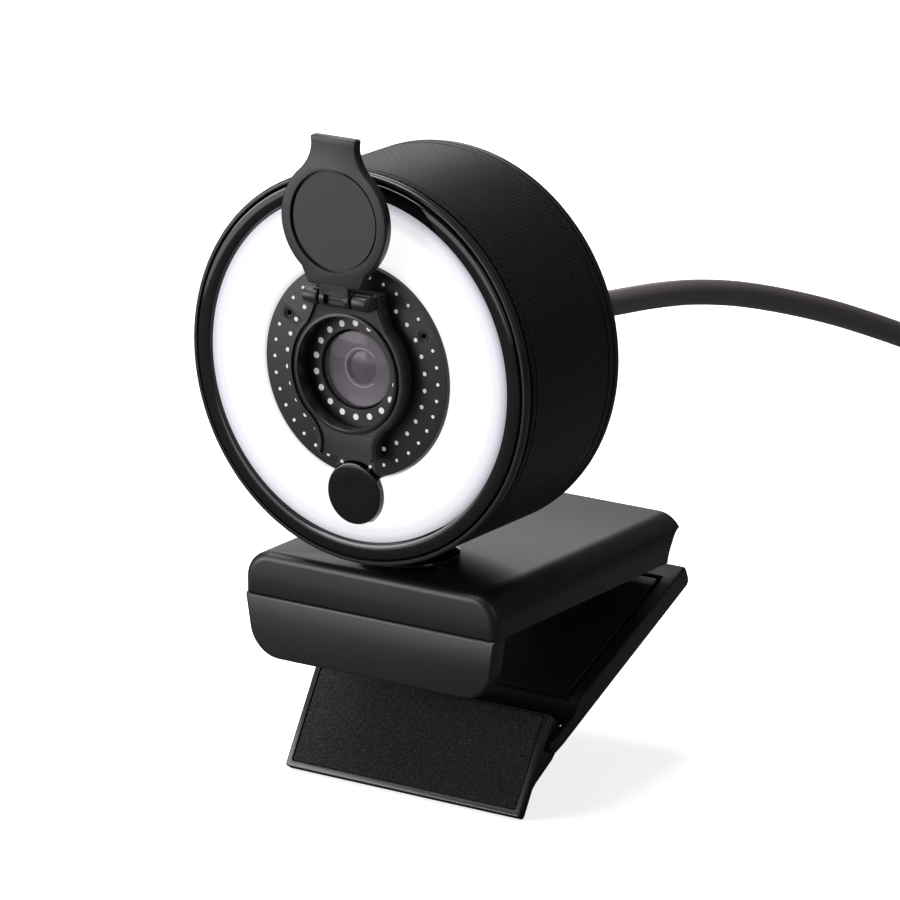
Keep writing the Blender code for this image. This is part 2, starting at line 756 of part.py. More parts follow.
def make_arm(mats):
    """A shallow channel that ends in two narrow tips, with hinge eyes at its heel."""
    tip_t, tip_h = FOOT_HINGE_T, FOOT_HINGE_H
    outline = [(1.0, 0.0), (0.25, 0.4), (0.0, 1.2), (0.0, 2.9), (0.5, ARM_DEPTH), (32.4, ARM_DEPTH)]
    outline += [(33.4, 3.3), (34.2, 2.8), (35.2, 2.35), (36.6, 2.2), (tip_t - 1.2, 2.2)]
    outline += [(t, h) for t, h in arc(tip_t, tip_h, 1.3, 60, -90, 8)]
    outline += [(tip_t - 2.0, 0.0)]
    arm = slab("clip_arm", arm_side(outline), -ARM_HALF, ARM_HALF, across, mats["shell"])
    rim = ARM_HALF - 2.2
    hollow = arm_side([(3.4, 1.3), (40.0, 1.3), (40.0, 6.0), (3.4, 6.0)])
    cut(arm, slab("arm_hollow", hollow, -rim, rim, across))
    fork = arm_side([(34.6, -2.0), (48.0, -2.0), (48.0, 7.0), (34.6, 7.0)])
    cut(arm, slab("arm_fork", fork, -ARM_HALF + 1.0, ARM_HALF - 1.0, across))
    centre = (0, *ARM_HINGE)
    for i, x in enumerate((-9.3, 4.0)):
        slot = rod(f"arm_slot_{i}", KNUCKLE_R + 0.35, centre, (1, 0, 0), x, x + 5.3, segments=24)
        cut(arm, slot)
    for i, (x0, x1) in enumerate(((-14.0, -9.3), (-4.0, 4.0), (9.3, 14.0))):
        add(arm, rod(f"arm_eye_{i}", KNUCKLE_R, centre, (1, 0, 0), x0, x1, segments=24))
    cut(arm, rod("arm_eye_bore", ARM_PIN_R + 0.06, centre, (1, 0, 0), -20, 20, segments=16))
    foot_axis = (0, *foot_hinge())
    cut(arm, rod("arm_tip_bore", FOOT_PIN_R + 0.06, foot_axis, (1, 0, 0), -30, 30, segments=12))
    pin = rod("arm_pin", ARM_PIN_R, centre, (1, 0, 0), -13.8, 13.8, mats["steel"], 16)
    panel_side = arm_side([(3.8, 1.6), (32.1, 1.6), (32.1, 3.05), (3.8, 3.05)])
    panel = slab("arm_panel", panel_side, -rim + 1.1, rim - 1.1, across, mats["shell"])
    return [arm, panel], [pin]


def foot_hinge():
    return on_arm(FOOT_HINGE_T, FOOT_HINGE_H)


def foot_matrix():
    """The foot's own frame: X across, Y up its face, Z out of its face, origin on its hinge."""
    up = Vector((0, math.sin(FOOT_LEAN), math.cos(FOOT_LEAN)))
    out = Vector((0, -math.cos(FOOT_LEAN), math.sin(FOOT_LEAN)))
    turn = Matrix((Vector((1, 0, 0)), up, out)).transposed().to_4x4()
    return Matrix.Translation(Vector((0, *foot_hinge()))) @ turn


def make_foot(mats):
    """A shallow tray that holds the foam pad, with two ears for its hinge pin."""
    matrix = foot_matrix()

    def on_foot(x, up, out):
        return matrix @ Vector((x, up, out))

    def on_foot_side(up, out, x):
        return matrix @ Vector((x, up, out))

    tray_outline = rounded_box(-FOOT_HALF, -FOOT_BELOW, FOOT_HALF, FOOT_ABOVE, 2.2)
    tray = slab("foot_tray", tray_outline, 1.6, 3.2, on_foot, mats["shell"])
    rim = 1.0
    recess = rounded_box(-FOOT_HALF + rim, -FOOT_BELOW + rim, FOOT_HALF - rim, FOOT_ABOVE - rim, 1.2)
    cut(tray, slab("foot_recess", recess, 2.3, 4.5, on_foot))
    for i, x in enumerate((-21.7, 20.3)):
        ear = arc(0, 0, 1.3, 180, 360, 8) + [(1.3, 1.9), (-1.3, 1.9)]
        add(tray, slab(f"foot_ear_{i}", ear, x, x + 1.4, on_foot_side))
    axis = (0, *foot_hinge())
    cut(tray, rod("ear_bore", FOOT_PIN_R + 0.06, axis, (1, 0, 0), -30, 30, segments=12))
    inset = rim + 0.2
    pad_outline = rounded_box(
        -FOOT_HALF + inset, -FOOT_BELOW + inset, FOOT_HALF - inset, FOOT_ABOVE - inset, 1.0
    )
    pad = slab("foot_pad", pad_outline, 2.5, 3.1, on_foot, mats["foam"])
    pin = rod("foot_pin", FOOT_PIN_R, axis, (1, 0, 0), -22.9, 22.9, mats["steel"], 12)
    return [tray, pad], [pin]


# cable


def smooth_route(route, spacing):
    """Points at even steps along a smooth curve through the route's own points."""
    ends = [Vector(route[0]) * 2 - Vector(route[1])], [Vector(route[-1]) * 2 - Vector(route[-2])]
    knots = ends[0] + [Vector(p) for p in route] + ends[1]
    fine = []
    for a, b, c, d in zip(knots, knots[1:], knots[2:], knots[3:]):
        for i in range(24):
            k = i / 24
            fine.append(
                0.5 * (2 * b + (c - a) * k + (2 * a - 5 * b + 4 * c - d) * k**2 + (3 * b - a - 3 * c + d) * k**3)
            )
    fine.append(knots[-2])
    total = sum((q - p).length for p, q in zip(fine, fine[1:]))
    count = max(2, round(total / spacing))
    points, walked, target = [fine[0]], 0.0, total / count
    for p, q in zip(fine, fine[1:]):
        step = (q - p).length
        while len(points) < count and walked + step >= target * len(points):
            k = (target * len(points) - walked) / step
            points.append(p.lerp(q, k))
        walked += step
    points.append(fine[-1])
    return points


def make_tube(name, route, mat):
    """A round cord along a route, closed at both ends."""
    points = smooth_route(route, CABLE_D * 2.4)
    curve = bpy.data.curves.new(name, "CURVE")
    curve.dimensions = "3D"
    curve.bevel_depth = CABLE_D / 2 * MM
    curve.bevel_resolution = 2
    curve.use_fill_caps = True
    spline = curve.splines.new("POLY")
    spline.points.add(len(points) - 1)
    for point, co in zip(spline.points, points):
        point.co = (*(co * MM), 1.0)
    curve.materials.append(mat)
    tube = bpy.data.objects.new(name, curve)
    bpy.context.scene.collection.objects.link(tube)
    return tube


def make_cable(mats):
    """The free stretch, the stored coil with its tie, the short tail and the plug."""
    run = make_tube("cable_run", CABLE_ROUTE, mats["cable"])
    bottom = FLOOR_Z + 0.75
    coil_outline = rounded_box(
        COIL_MEAN_R - COIL_HALF, bottom, COIL_MEAN_R + COIL_HALF, bottom + 2 * COIL_HALF, 2.2, 2
    )
    coil = turned("cable_coil", coil_outline, (COIL_X, COIL_Y, 0), (0, 0, 1), 36, mats["cable"])
    tail = make_tube("cable_tail", TAIL_ROUTE, mats["cable"])
    tie = make_tie(mats, bottom)
    plug_outline = rounded_box(PLUG_Y - 8.0, PLUG_Z - 3.9, PLUG_Y + 8.0, PLUG_Z + 3.9, 1.6, 3)
    body = slab("plug_body", plug_outline, PLUG_X - 21.0, PLUG_X, across, mats["rubber"])
    nose = PLUG_X - 21.0 - GAP
    shell_outline = rounded_box(PLUG_Y - 6.0, PLUG_Z - 2.25, PLUG_Y + 6.0, PLUG_Z + 2.25, 0.4, 2)
    shell = slab("plug_shell", shell_outline, nose - 12.0, nose, across, mats["steel"])
    mouth = box_outline(PLUG_Y - 5.65, PLUG_Z - 1.9, PLUG_Y + 5.65, PLUG_Z + 1.9)
    cut(shell, slab("plug_mouth", mouth, nose - 13.0, nose - 0.4, across))
    tongue_outline = box_outline(PLUG_Y - 5.4, PLUG_Z - 1.6, PLUG_Y + 5.4, PLUG_Z + 0.1)
    tongue = slab("plug_tongue", tongue_outline, nose - 11.4, nose - 0.7, across, mats["white"])
    return [run], [coil, tail, tie, body, shell, tongue]


def make_tie(mats, bottom):
    """A strap round the coil's section, on the side away from the plug."""
    width = 5.0
    low, high = COIL_MEAN_R - COIL_HALF, COIL_MEAN_R + COIL_HALF
    outer = rounded_box(low - 0.7, bottom - 0.7, high + 0.7, bottom + 2 * COIL_HALF + 0.7, 2.6, 3)
    inner = rounded_box(low - 0.2, bottom - 0.2, high + 0.2, bottom + 2 * COIL_HALF + 0.2, 2.3, 3)

    turn = math.radians(TIE_ANGLE)
    c, s = math.cos(turn), math.sin(turn)

    def on_coil(r, z, along):
        return (COIL_X + r * c - along * s, COIL_Y + r * s + along * c, z)

    tie = slab("cable_tie", outer, -width / 2, width / 2, on_coil, mats["rubber"])
    ring_r0, ring_r1 = low - 0.3, high + 0.3
    hole = turned(
        "tie_hole",
        rounded_box(ring_r0, bottom - 0.25, ring_r1, bottom + 2 * COIL_HALF + 0.25, 2.3, 3),
        (COIL_X, COIL_Y, 0),
        (0, 0, 1),
        72,
    )
    cut(tie, slab("tie_opening", inner, -width, width, on_coil), hole)
    return tie


def pivot(name, place, parent=None):
    """An empty on a joint's axis; the pieces that move with the joint are its children."""
    empty = bpy.data.objects.new(name, None)
    empty.empty_display_size = 0.01
    bpy.context.scene.collection.objects.link(empty)
    world = Vector(place) * MM
    empty.location = world - (Vector(parent["world"]) if parent else Vector())
    empty["world"] = tuple(world)
    empty.parent = parent
    return empty


def hang(pieces, empty):
    for piece in pieces:
        piece.parent = empty
        piece.location = -Vector(empty["world"])


def main():
    clear_scene()
    mats = make_materials()
    make_top_shell(mats)
    make_clip_base(mats)

    swivel = pivot("swivel_axis", (0, NECK_Y, PLATE_TOP))
    tilt = pivot("tilt_axis", (0, NECK_Y, TILT_Z), swivel)
    run, rest_of_cable = make_cable(mats)
    hang(make_neck(mats) + rest_of_cable, swivel)

    button, switch = make_button(mats)
    head = make_drum_shell(mats) + make_bezel(mats) + make_light(mats) + make_centre(mats)
    head += make_lens(mats) + make_main_board(mats) + switch + make_rear_cover(mats)
    head += make_strain_relief(mats) + make_tilt_bracket(mats) + make_cover_base(mats) + run
    hang(head, tilt)
    hang(button, pivot("button_axis", (0, FACE_Y, HEAD_Z - BUTTON_DROP), tilt))
    cover_place = (0, FACE_Y + HINGE_DEPTH, HEAD_Z + HINGE_RISE)
    hang(make_cover_flap(mats), pivot("cover_axis", cover_place, tilt))

    arm_axis = pivot("arm_axis", (0, *ARM_HINGE))
    foot_axis = pivot("foot_axis", (0, *foot_hinge()), arm_axis)
    arm, arm_pin = make_arm(mats)
    foot, foot_pin = make_foot(mats)
    hang(arm + foot_pin, arm_axis)
    hang(foot, foot_axis)
    hang(arm_pin, pivot("arm_pin_axis", (0, *ARM_HINGE)))


main()
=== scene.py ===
import math

import bmesh
import bpy
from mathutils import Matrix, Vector


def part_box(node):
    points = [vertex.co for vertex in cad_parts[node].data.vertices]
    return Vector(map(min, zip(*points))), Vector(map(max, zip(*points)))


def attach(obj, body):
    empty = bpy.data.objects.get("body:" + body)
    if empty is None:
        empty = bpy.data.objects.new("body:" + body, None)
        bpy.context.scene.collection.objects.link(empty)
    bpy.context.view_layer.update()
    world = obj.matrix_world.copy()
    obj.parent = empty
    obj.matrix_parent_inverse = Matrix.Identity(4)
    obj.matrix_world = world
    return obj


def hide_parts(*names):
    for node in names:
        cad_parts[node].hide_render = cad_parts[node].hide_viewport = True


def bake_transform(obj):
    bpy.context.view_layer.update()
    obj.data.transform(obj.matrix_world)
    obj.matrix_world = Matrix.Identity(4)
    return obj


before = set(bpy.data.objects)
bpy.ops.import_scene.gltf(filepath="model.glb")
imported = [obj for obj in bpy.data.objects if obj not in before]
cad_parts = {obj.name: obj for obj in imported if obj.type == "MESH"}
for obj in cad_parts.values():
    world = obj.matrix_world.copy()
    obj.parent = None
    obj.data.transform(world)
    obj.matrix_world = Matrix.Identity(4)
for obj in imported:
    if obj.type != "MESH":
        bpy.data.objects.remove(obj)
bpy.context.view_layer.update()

mm = 0.001
print("frame loaded")


def middleOf(node):
    low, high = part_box(node)
    return (low + high) / 2


# places read from the frame; the face looks along -Y
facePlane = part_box("front_bezel")[0].y
head = Vector((0, facePlane, middleOf("drum_shell").z))  # middle of the face
coverHinge = middleOf("cover_pin")
button = Vector((0, facePlane, middleOf("touch_button").z))
neck = Vector((0, middleOf("neck_post").y, 0))
tiltAxis = middleOf("tilt_pin")
armHinge = middleOf("arm_pin")
footHinge = middleOf("foot_pin")
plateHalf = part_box("clip_top_shell")[1].x
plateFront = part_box("clip_top_shell")[0].y
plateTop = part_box("clip_top_shell")[1].z
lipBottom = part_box("clip_base")[0].z
floorZ = min(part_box("foot_tray")[0].z - 0.02 * mm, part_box("cable_tie")[0].z)

# angles in degrees, distance and height in metres, lens in mm
view = {"azimuth": 34.06, "elevation": 16.09, "distance": 0.95, "aimHeight": 0.02146, "lens": 242.3}


def makeCamera():
    a = math.radians(view["azimuth"])
    e = math.radians(view["elevation"])
    back = Vector((math.sin(a) * math.cos(e), -math.cos(a) * math.cos(e), math.sin(e)))
    bpy.ops.object.camera_add(location=Vector((0, 0, view["aimHeight"])) + back * view["distance"])
    camera = bpy.context.object
    camera.rotation_mode = "QUATERNION"
    camera.rotation_quaternion = (-back).to_track_quat("-Z", "Y")
    camera.data.lens = view["lens"]
    camera.data.sensor_width = 36
    bpy.context.scene.camera = camera


# softboxes: place and aim in metres, size in metres, power in watts
softboxes = {
    "overhead": {"place": (-0.35, -0.1, 1.0), "aim": (0, 0, 0), "size": (0.9, 0.7), "power": 14},
    "leftFront": {"place": (-0.8, -0.9, 0.3), "aim": (0, 0, 0.03), "size": (0.7, 0.6), "power": 8},
    "backLeft": {"place": (-0.95, 1.1, 0.5), "aim": (0, 0, 0.02), "size": (0.9, 0.6), "power": 2.7},
    "lowCard": {"place": (-0.2, -0.3, 0.022), "aim": (0, 0, 0.04), "size": (0.3, 0.085), "power": 0.16},
    "rightSide": {"place": (0.9, -0.2, 0.6), "aim": (0, 0, 0), "size": (0.35, 0.8), "power": 1.0},
}
# how bright the room and the floor are to the camera, and to the object that they light
studio = {
    "roomToCamera": 1.0,
    "roomToObject": 0.07,
    "floorGlow": 0.75,
    "floorToCamera": 0.95,
    "floorToObject": 0.12,
    "tint": (1.0, 0.955, 0.98),
}


def makeLights():
    for name, box in softboxes.items():
        place = Vector(box["place"])
        bpy.ops.object.light_add(type="AREA", location=place)
        light = bpy.context.object
        light.name = name
        light.rotation_mode = "QUATERNION"
        light.rotation_quaternion = (Vector(box["aim"]) - place).to_track_quat("-Z", "Y")
        light.data.shape = "RECTANGLE"
        light.data.size, light.data.size_y = box["size"]
        light.data.energy = box["power"]
        light.data.color = studio["tint"]
    # a white room in the picture that gives little light of its own
    world = bpy.data.worlds.new("studio")
    bpy.context.scene.world = world
    world.use_nodes = True
    sky = world.node_tree.nodes["Background"]
    sky.inputs["Color"].default_value = (1.0, 1.0, 1.0, 1.0)
    seen = addNode(world, "LightPath", {}).outputs["Is Camera Ray"]
    levels = {"Value": seen, "To Min": studio["roomToObject"], "To Max": studio["roomToCamera"]}
    strength = addNode(world, "MapRange", levels)
    world.node_tree.links.new(strength.outputs["Result"], sky.inputs["Strength"])
    bpy.context.scene.view_settings.view_transform = "Standard"


def makeFloor():
    # white paper to the camera, a dull grey to the object's own reflections
    clearSelection()
    bpy.ops.mesh.primitive_plane_add(size=12, location=(0, 0, floorZ))
    floor = bpy.context.object
    floor.name = "studio_floor"
    mat, shader = newMaterial("paperFloor", "fbfbfb", 0.9)
    shader.inputs["Specular IOR Level"].default_value = 0.1
    shader.inputs["Emission Color"].default_value = (1.0, 1.0, 1.0, 1.0)
    seen = addNode(mat, "LightPath", {}).outputs["Is Camera Ray"]
    levels = {"Value": seen, "To Min": 0.0, "To Max": studio["floorGlow"]}
    glow = addNode(mat, "MapRange", levels)
    levels = {"Value": seen, "To Min": studio["floorToObject"], "To Max": studio["floorToCamera"]}
    shade = addNode(mat, "MapRange", levels)
    feed(mat, shader, Emission_Strength=glow.outputs["Result"], Base_Color=shade.outputs["Result"])
    floor.data.materials.append(mat)


def clearSelection():
    if bpy.context.object and bpy.context.object.mode != "OBJECT":
        bpy.ops.object.mode_set(mode="OBJECT")
    bpy.ops.object.select_all(action="DESELECT")


def choose(piece):
    clearSelection()
    piece.select_set(True)
    bpy.context.view_layer.objects.active = piece


def settle(piece):  # place, turn and scale go into the mesh
    choose(piece)
    bpy.ops.object.transform_apply(location=True, rotation=True, scale=True)


def pick(piece, kind, test):  # in edit mode: selects what passes the test, and nothing else
    bpy.ops.mesh.select_mode(type={"verts": "VERT", "edges": "EDGE", "faces": "FACE"}[kind])
    bpy.ops.mesh.select_all(action="DESELECT")
    mesh = bmesh.from_edit_mesh(piece.data)
    for item in getattr(mesh, kind):
        item.select_set(test(item))
    bmesh.update_edit_mesh(piece.data)


def closeUp(piece, merge=1e-6):  # doubles merged, holes filled, faces turned outwards
    bpy.ops.mesh.select_mode(type="VERT")
    bpy.ops.mesh.select_all(action="SELECT")
    bpy.ops.mesh.remove_doubles(threshold=merge)
    bpy.ops.mesh.fill_holes(sides=0)
    bpy.ops.mesh.select_all(action="SELECT")
    bpy.ops.mesh.normals_make_consistent(inside=False)
    bpy.ops.object.mode_set(mode="OBJECT")


def soften(piece, width, segments=3, angle=40):  # rounds every edge sharper than the angle
    choose(piece)
    bevel = piece.modifiers.new("soften", "BEVEL")
    bevel.width = width * mm
    bevel.segments = segments
    bevel.limit_method = "ANGLE"
    bevel.angle_limit = math.radians(angle)
    bevel.use_clamp_overlap = False
    bpy.ops.object.modifier_apply(modifier="soften")


def carve(piece, tool, operation="DIFFERENCE"):  # the tool is used up
    choose(piece)
    boolean = piece.modifiers.new("carve", "BOOLEAN")
    boolean.operation = operation
    boolean.solver = "EXACT"
    boolean.object = tool
    bpy.ops.object.modifier_apply(modifier="carve")
    bpy.data.objects.remove(tool, do_unlink=True)


def weld(piece, tool):
    carve(piece, tool, "UNION")


def done(piece, material, body, slot, *nodes, angle=35):
    choose(piece)
    bpy.ops.object.shade_smooth_by_angle(angle=math.radians(angle))
    piece.data.materials.clear()
    piece.data.materials.append(material)
    if body:
        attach(piece, body)
    if nodes:
        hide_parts(*nodes)
    return piece


axisTurns = {"X": (0, math.pi / 2, 0), "Y": (-math.pi / 2, 0, 0), "Z": (0, 0, 0)}
axisLines = {"X": Vector((1, 0, 0)), "Y": Vector((0, 1, 0)), "Z": Vector((0, 0, 1))}


def lathe(name, middle, axis, profile, steps=144, ring=False):
    # a circle drawn out along (radius, depth) pairs in mm; a ring's profile comes back to its start
    clearSelection()
    line = axisLines[axis]
    radius, depth = profile[0]
    bpy.ops.mesh.primitive_circle_add(
        vertices=steps,
        radius=radius * mm,
        location=middle + line * depth * mm,
        rotation=axisTurns[axis],
    )
    piece = bpy.context.object
    piece.name = piece.data.name = name
    settle(piece)
    bpy.ops.object.mode_set(mode="EDIT")
    bpy.ops.mesh.select_mode(type="EDGE")
    bpy.ops.mesh.select_all(action="SELECT")
    for nextRadius, nextDepth in profile[1:] + ([profile[0]] if ring else []):
        step = line * (nextDepth - depth) * mm
        bpy.ops.mesh.extrude_edges_move(TRANSFORM_OT_translate={"value": step})
        grow = nextRadius / radius
        bpy.ops.transform.resize(value=(grow,) * 3, center_override=middle + line * nextDepth * mm)
        radius, depth = nextRadius, nextDepth
    closeUp(piece)
    return piece


def bar(name, radius, middle, axis, low, high, steps=48):
    return lathe(name, middle, axis, [(radius, low), (radius, high)], steps)


def block(name, low, high):  # a box between two corners in mm
    clearSelection()
    low, high = Vector(low) * mm, Vector(high) * mm
    bpy.ops.mesh.primitive_cube_add(size=1, location=(low + high) / 2, scale=high - low)
    piece = bpy.context.object
    piece.name = piece.data.name = name
    settle(piece)
    return piece


def roundBlock(name, low, high, axis, radius, steps=6):
    # a box whose four edges along one axis are rounded
    piece = block(name, low, high)
    k = "XYZ".index(axis)
    bpy.ops.object.mode_set(mode="EDIT")
    pick(piece, "edges", lambda e: abs((e.verts[0].co - e.verts[1].co).normalized()[k]) > 0.9)
    bpy.ops.mesh.bevel(offset=radius * mm, segments=steps, affect="EDGES")
    closeUp(piece)
    return piece


def sweep(start, end, steps):  # even angles from start to end, given in degrees
    return [math.radians(start + (end - start) * i / steps) for i in range(steps + 1)]


def arc(x, y, r, start, end, steps):
    return [(x + r * math.cos(a), y + r * math.sin(a)) for a in sweep(start, end, steps)]


def cutOut(name, outlines, low, high, edge, plane="front", inset=0.0):
    # a flat curve with a rounded rim: the first outline is the shape, the others are its holes
    clearSelection()
    curve = bpy.data.curves.new(name, "CURVE")
    curve.dimensions = "2D"
    curve.fill_mode = "BOTH"
    curve.extrude = (high - low) / 2 * mm - edge * mm
    curve.bevel_depth = edge * mm
    curve.bevel_resolution = 2
    curve.offset = -(edge + inset) * mm
    for outline in outlines:
        spline = curve.splines.new("POLY")
        spline.points.add(len(outline) - 1)
        for point, (a, b) in zip(spline.points, outline):
            point.co = (a * mm, b * mm, 0, 1)
        spline.use_cyclic_u = True
    piece = bpy.data.objects.new(name, curve)
    bpy.context.scene.collection.objects.link(piece)
    choose(piece)
    bpy.ops.object.convert(target="MESH")
    piece = bpy.context.object
    piece.name = piece.data.name = name
    middle = (low + high) / 2 * mm
    if plane == "front":  # outline is x, z; levels run along Y
        piece.rotation_euler = (math.pi / 2, 0, 0)
        piece.location = (0, middle, 0)
    else:  # outline is y, z; levels run along X
        piece.rotation_euler = (math.pi / 2, 0, math.pi / 2)
        piece.location = (middle, 0, 0)
    settle(piece)
    bpy.ops.object.mode_set(mode="EDIT")
    closeUp(piece, 2e-6)
    return piece


def shifted(points, x, y):
    return [(a + x, b + y) for a, b in points]


def colour(hexText):
    channels = [int(hexText[i : i + 2], 16) / 255 for i in (0, 2, 4)]
    linear = [c / 12.92 if c <= 0.04045 else ((c + 0.055) / 1.055) ** 2.4 for c in channels]
    return (*linear, 1.0)


def addNode(mat, kind, inputs, **settings):
    node = mat.node_tree.nodes.new("ShaderNode" + kind)
    for key, value in settings.items():
        setattr(node, key, value)
    for key, value in inputs.items():
        if isinstance(value, bpy.types.NodeSocket):
            mat.node_tree.links.new(value, node.inputs[key])
        else:
            node.inputs[key].default_value = value
    return node


def newMaterial(name, baseHex, roughness, **sockets):
    mat = bpy.data.materials.new(name)
    mat.use_nodes = True
    shader = mat.node_tree.nodes["Principled BSDF"]
    shader.inputs["Base Color"].default_value = colour(baseHex)
    shader.inputs["Roughness"].default_value = roughness
    for key, value in sockets.items():
        shader.inputs[key.replace("_", " ")].default_value = value
    mat.diffuse_color = colour(baseHex)
    return mat, shader


def feed(mat, shader, **sources):  # patterns into the shader's sockets
    for key, source in sources.items():
        mat.node_tree.links.new(source, shader.inputs[key.replace("_", " ")])


def mouldedPlastic(name, darkHex, paleHex, roughness, grain, depth, ior=1.53, spread=0.06, **sockets):
    # injection-moulded plastic: spark-eroded grain of the given size and depth in mm,
    # with slow changes of shade and gloss where the melt flowed, about 14 mm across
    mat, shader = newMaterial(name, darkHex, roughness, IOR=ior, **sockets)
    here = addNode(mat, "TexCoord", {}).outputs["Object"]
    flow = addNode(mat, "TexNoise", {"Vector": here, "Scale": 1 / (14 * mm), "Detail": 3.0})
    fine = addNode(mat, "TexNoise", {"Vector": here, "Scale": 1 / (grain * mm), "Detail": 2.0})
    shades = {"Factor": flow.outputs["Fac"], "A": colour(darkHex), "B": colour(paleHex)}
    shade = addNode(mat, "Mix", shades, data_type="RGBA")
    levels = {"Value": fine.outputs["Fac"], "To Min": roughness - spread, "To Max": roughness + spread}
    gloss = addNode(mat, "MapRange", levels)
    relief = {"Height": fine.outputs["Fac"], "Distance": depth * mm, "Strength": 1.0}
    bump = addNode(mat, "Bump", relief)
    feed(mat, shader, Base_Color=shade.outputs["Result"], Roughness=gloss.outputs["Result"])
    feed(mat, shader, Normal=bump.outputs["Normal"])
    return mat


def fromHead(mat):  # X, Y and Z counted from the middle of the face, in metres
    here = addNode(mat, "TexCoord", {}).outputs["Object"]
    centred = addNode(mat, "VectorMath", {0: here, 1: tuple(head)}, operation="SUBTRACT")
    return addNode(mat, "SeparateXYZ", {"Vector": centred.outputs["Vector"]}).outputs


# moulded bars that run round the drum, in mm; 144 of them make one row
weave = {"radius": 30.8, "barsRound": 144, "rowHeight": 0.72, "groove": 0.15, "depth": 0.3}


def sleevePlastic():
    # black ABS sleeve with a moulded pattern of short staggered bars, 1.35 mm long:
    # it breaks the light into a fine comb
    mat, shader = newMaterial("wovenBlackAbs", "141112", 0.45, IOR=1.5, Specular_IOR_Level=0.4)
    x, y, z = fromHead(mat)
    around = addNode(mat, "Math", {0: x, 1: z}, operation="ARCTAN2")
    along = addNode(mat, "Math", {0: around.outputs[0], 1: weave["radius"]}, operation="MULTIPLY")
    deep = addNode(mat, "Math", {0: y, 1: 1 / mm}, operation="MULTIPLY")
    flat = addNode(mat, "CombineXYZ", {"X": along.outputs[0], "Y": deep.outputs[0]})
    rows = {
        "Vector": flat.outputs["Vector"],
        "Color1": (1, 1, 1, 1),
        "Color2": (0.75, 0.75, 0.75, 1),
        "Mortar": (0, 0, 0, 1),
        "Scale": 1.0,
        "Mortar Size": weave["groove"],
        "Mortar Smooth": 0.7,
        "Brick Width": 2 * math.pi * weave["radius"] / weave["barsRound"],
        "Row Height": weave["rowHeight"],
    }
    bars = addNode(mat, "TexBrick", rows, offset=0.5)
    shades = {"Factor": bars.outputs["Color"], "A": colour("050404"), "B": colour("262224")}
    shade = addNode(mat, "Mix", shades, data_type="RGBA")
    relief = {"Height": bars.outputs["Color"], "Distance": weave["depth"] * mm, "Strength": 1.0}
    bump = addNode(mat, "Bump", relief)
    feed(mat, shader, Base_Color=shade.outputs["Result"], Normal=bump.outputs["Normal"])
    return mat


def opalAcrylic():
    # opal PMMA lit from behind by a ring of LEDs: white all over, with painted shade that makes it a
    # little greyer by its two rims
    mat, shader = newMaterial("opalAcrylic", "8c8c90", 0.35, IOR=1.49)
    x, _, z = fromHead(mat)
    flat = addNode(mat, "CombineXYZ", {"X": x, "Y": z})
    reach = addNode(mat, "VectorMath", {0: flat.outputs["Vector"]}, operation="LENGTH")
    inner, outer = face["opalRadii"]
    edges = {"Value": reach.outputs["Value"], "From Min": inner * mm, "From Max": outer * mm}
    share = addNode(mat, "MapRange", edges)
    # the ramp paints shade into the glow: grey at both rims, white between them
    rim = addNode(mat, "ValToRGB", {"Fac": share.outputs["Result"]})
    rimShadeRamp = rim.color_ramp
    rimShadeRamp.interpolation = "EASE"
    rimShadeRamp.elements[0].color = colour("e6e5ea")
    rimShadeRamp.elements[1].color = colour("b2b1ba")
    for at, shade in ((0.12, "fbfafc"), (0.62, "ffffff"), (0.85, "e0dfe6")):
        rimShadeRamp.elements.new(at).color = colour(shade)
    feed(mat, shader, Emission_Color=rim.outputs["Color"])
    shader.inputs["Emission Strength"].default_value = 0.95
    return mat


def evaFoam():
    # closed-cell EVA foam: cut cells 0.4 mm across show as pits with paler walls between them
    mat, shader = newMaterial("evaFoam", "1b1819", 0.92, IOR=1.45)
    here = addNode(mat, "TexCoord", {}).outputs["Object"]
    cells = addNode(mat, "TexVoronoi", {"Vector": here, "Scale": 1 / (0.42 * mm)})
    dust = addNode(mat, "TexNoise", {"Vector": here, "Scale": 1 / (0.3 * mm), "Detail": 4.0})
    specks = addNode(mat, "ValToRGB", {"Fac": dust.outputs["Fac"]})
    for stop, at, shade in zip(specks.color_ramp.elements, (0.45, 0.72), ("161314", "3a3638")):
        stop.position = at
        stop.color = colour(shade)
    pits = {"Height": cells.outputs["Distance"], "Distance": 0.15 * mm, "Strength": 1.0}
    bump = addNode(mat, "Bump", pits)
    feed(mat, shader, Base_Color=specks.outputs["Color"], Normal=bump.outputs["Normal"])
    return mat


def brushedMetal(name, paleHex, darkHex, roughness, grain):
    # plated or turned metal: fine tool marks of the given size in mm change its shade and gloss
    mat, shader = newMaterial(name, paleHex, roughness, Metallic=1.0)
    here = addNode(mat, "TexCoord", {}).outputs["Object"]
    marks = addNode(mat, "TexNoise", {"Vector": here, "Scale": 1 / (grain * mm), "Detail": 5.0})
    shades = {"Factor": marks.outputs["Fac"], "A": colour(paleHex), "B": colour(darkHex)}
    shade = addNode(mat, "Mix", shades, data_type="RGBA")
    levels = {"Value": marks.outputs["Fac"], "To Min": roughness - 0.08, "To Max": roughness + 0.12}
    gloss = addNode(mat, "MapRange", levels)
    feed(mat, shader, Base_Color=shade.outputs["Result"], Roughness=gloss.outputs["Result"])
    return mat


def coatedGlass():
    # anti-reflection coated cover glass: thin and clear, with a faint grey-violet veil
    mat, shader = newMaterial("coatedCoverGlass", "6f6a72", 0.04, IOR=1.5, Alpha=0.3)
    here = addNode(mat, "TexCoord", {}).outputs["Object"]
    wipe = addNode(mat, "TexNoise", {"Vector": here, "Scale": 1 / (4 * mm), "Detail": 1.0})
    levels = {"Value": wipe.outputs["Fac"], "To Min": 0.04, "To Max": 0.09}
    gloss = addNode(mat, "MapRange", levels)
    feed(mat, shader, Roughness=gloss.outputs["Result"])
    return mat


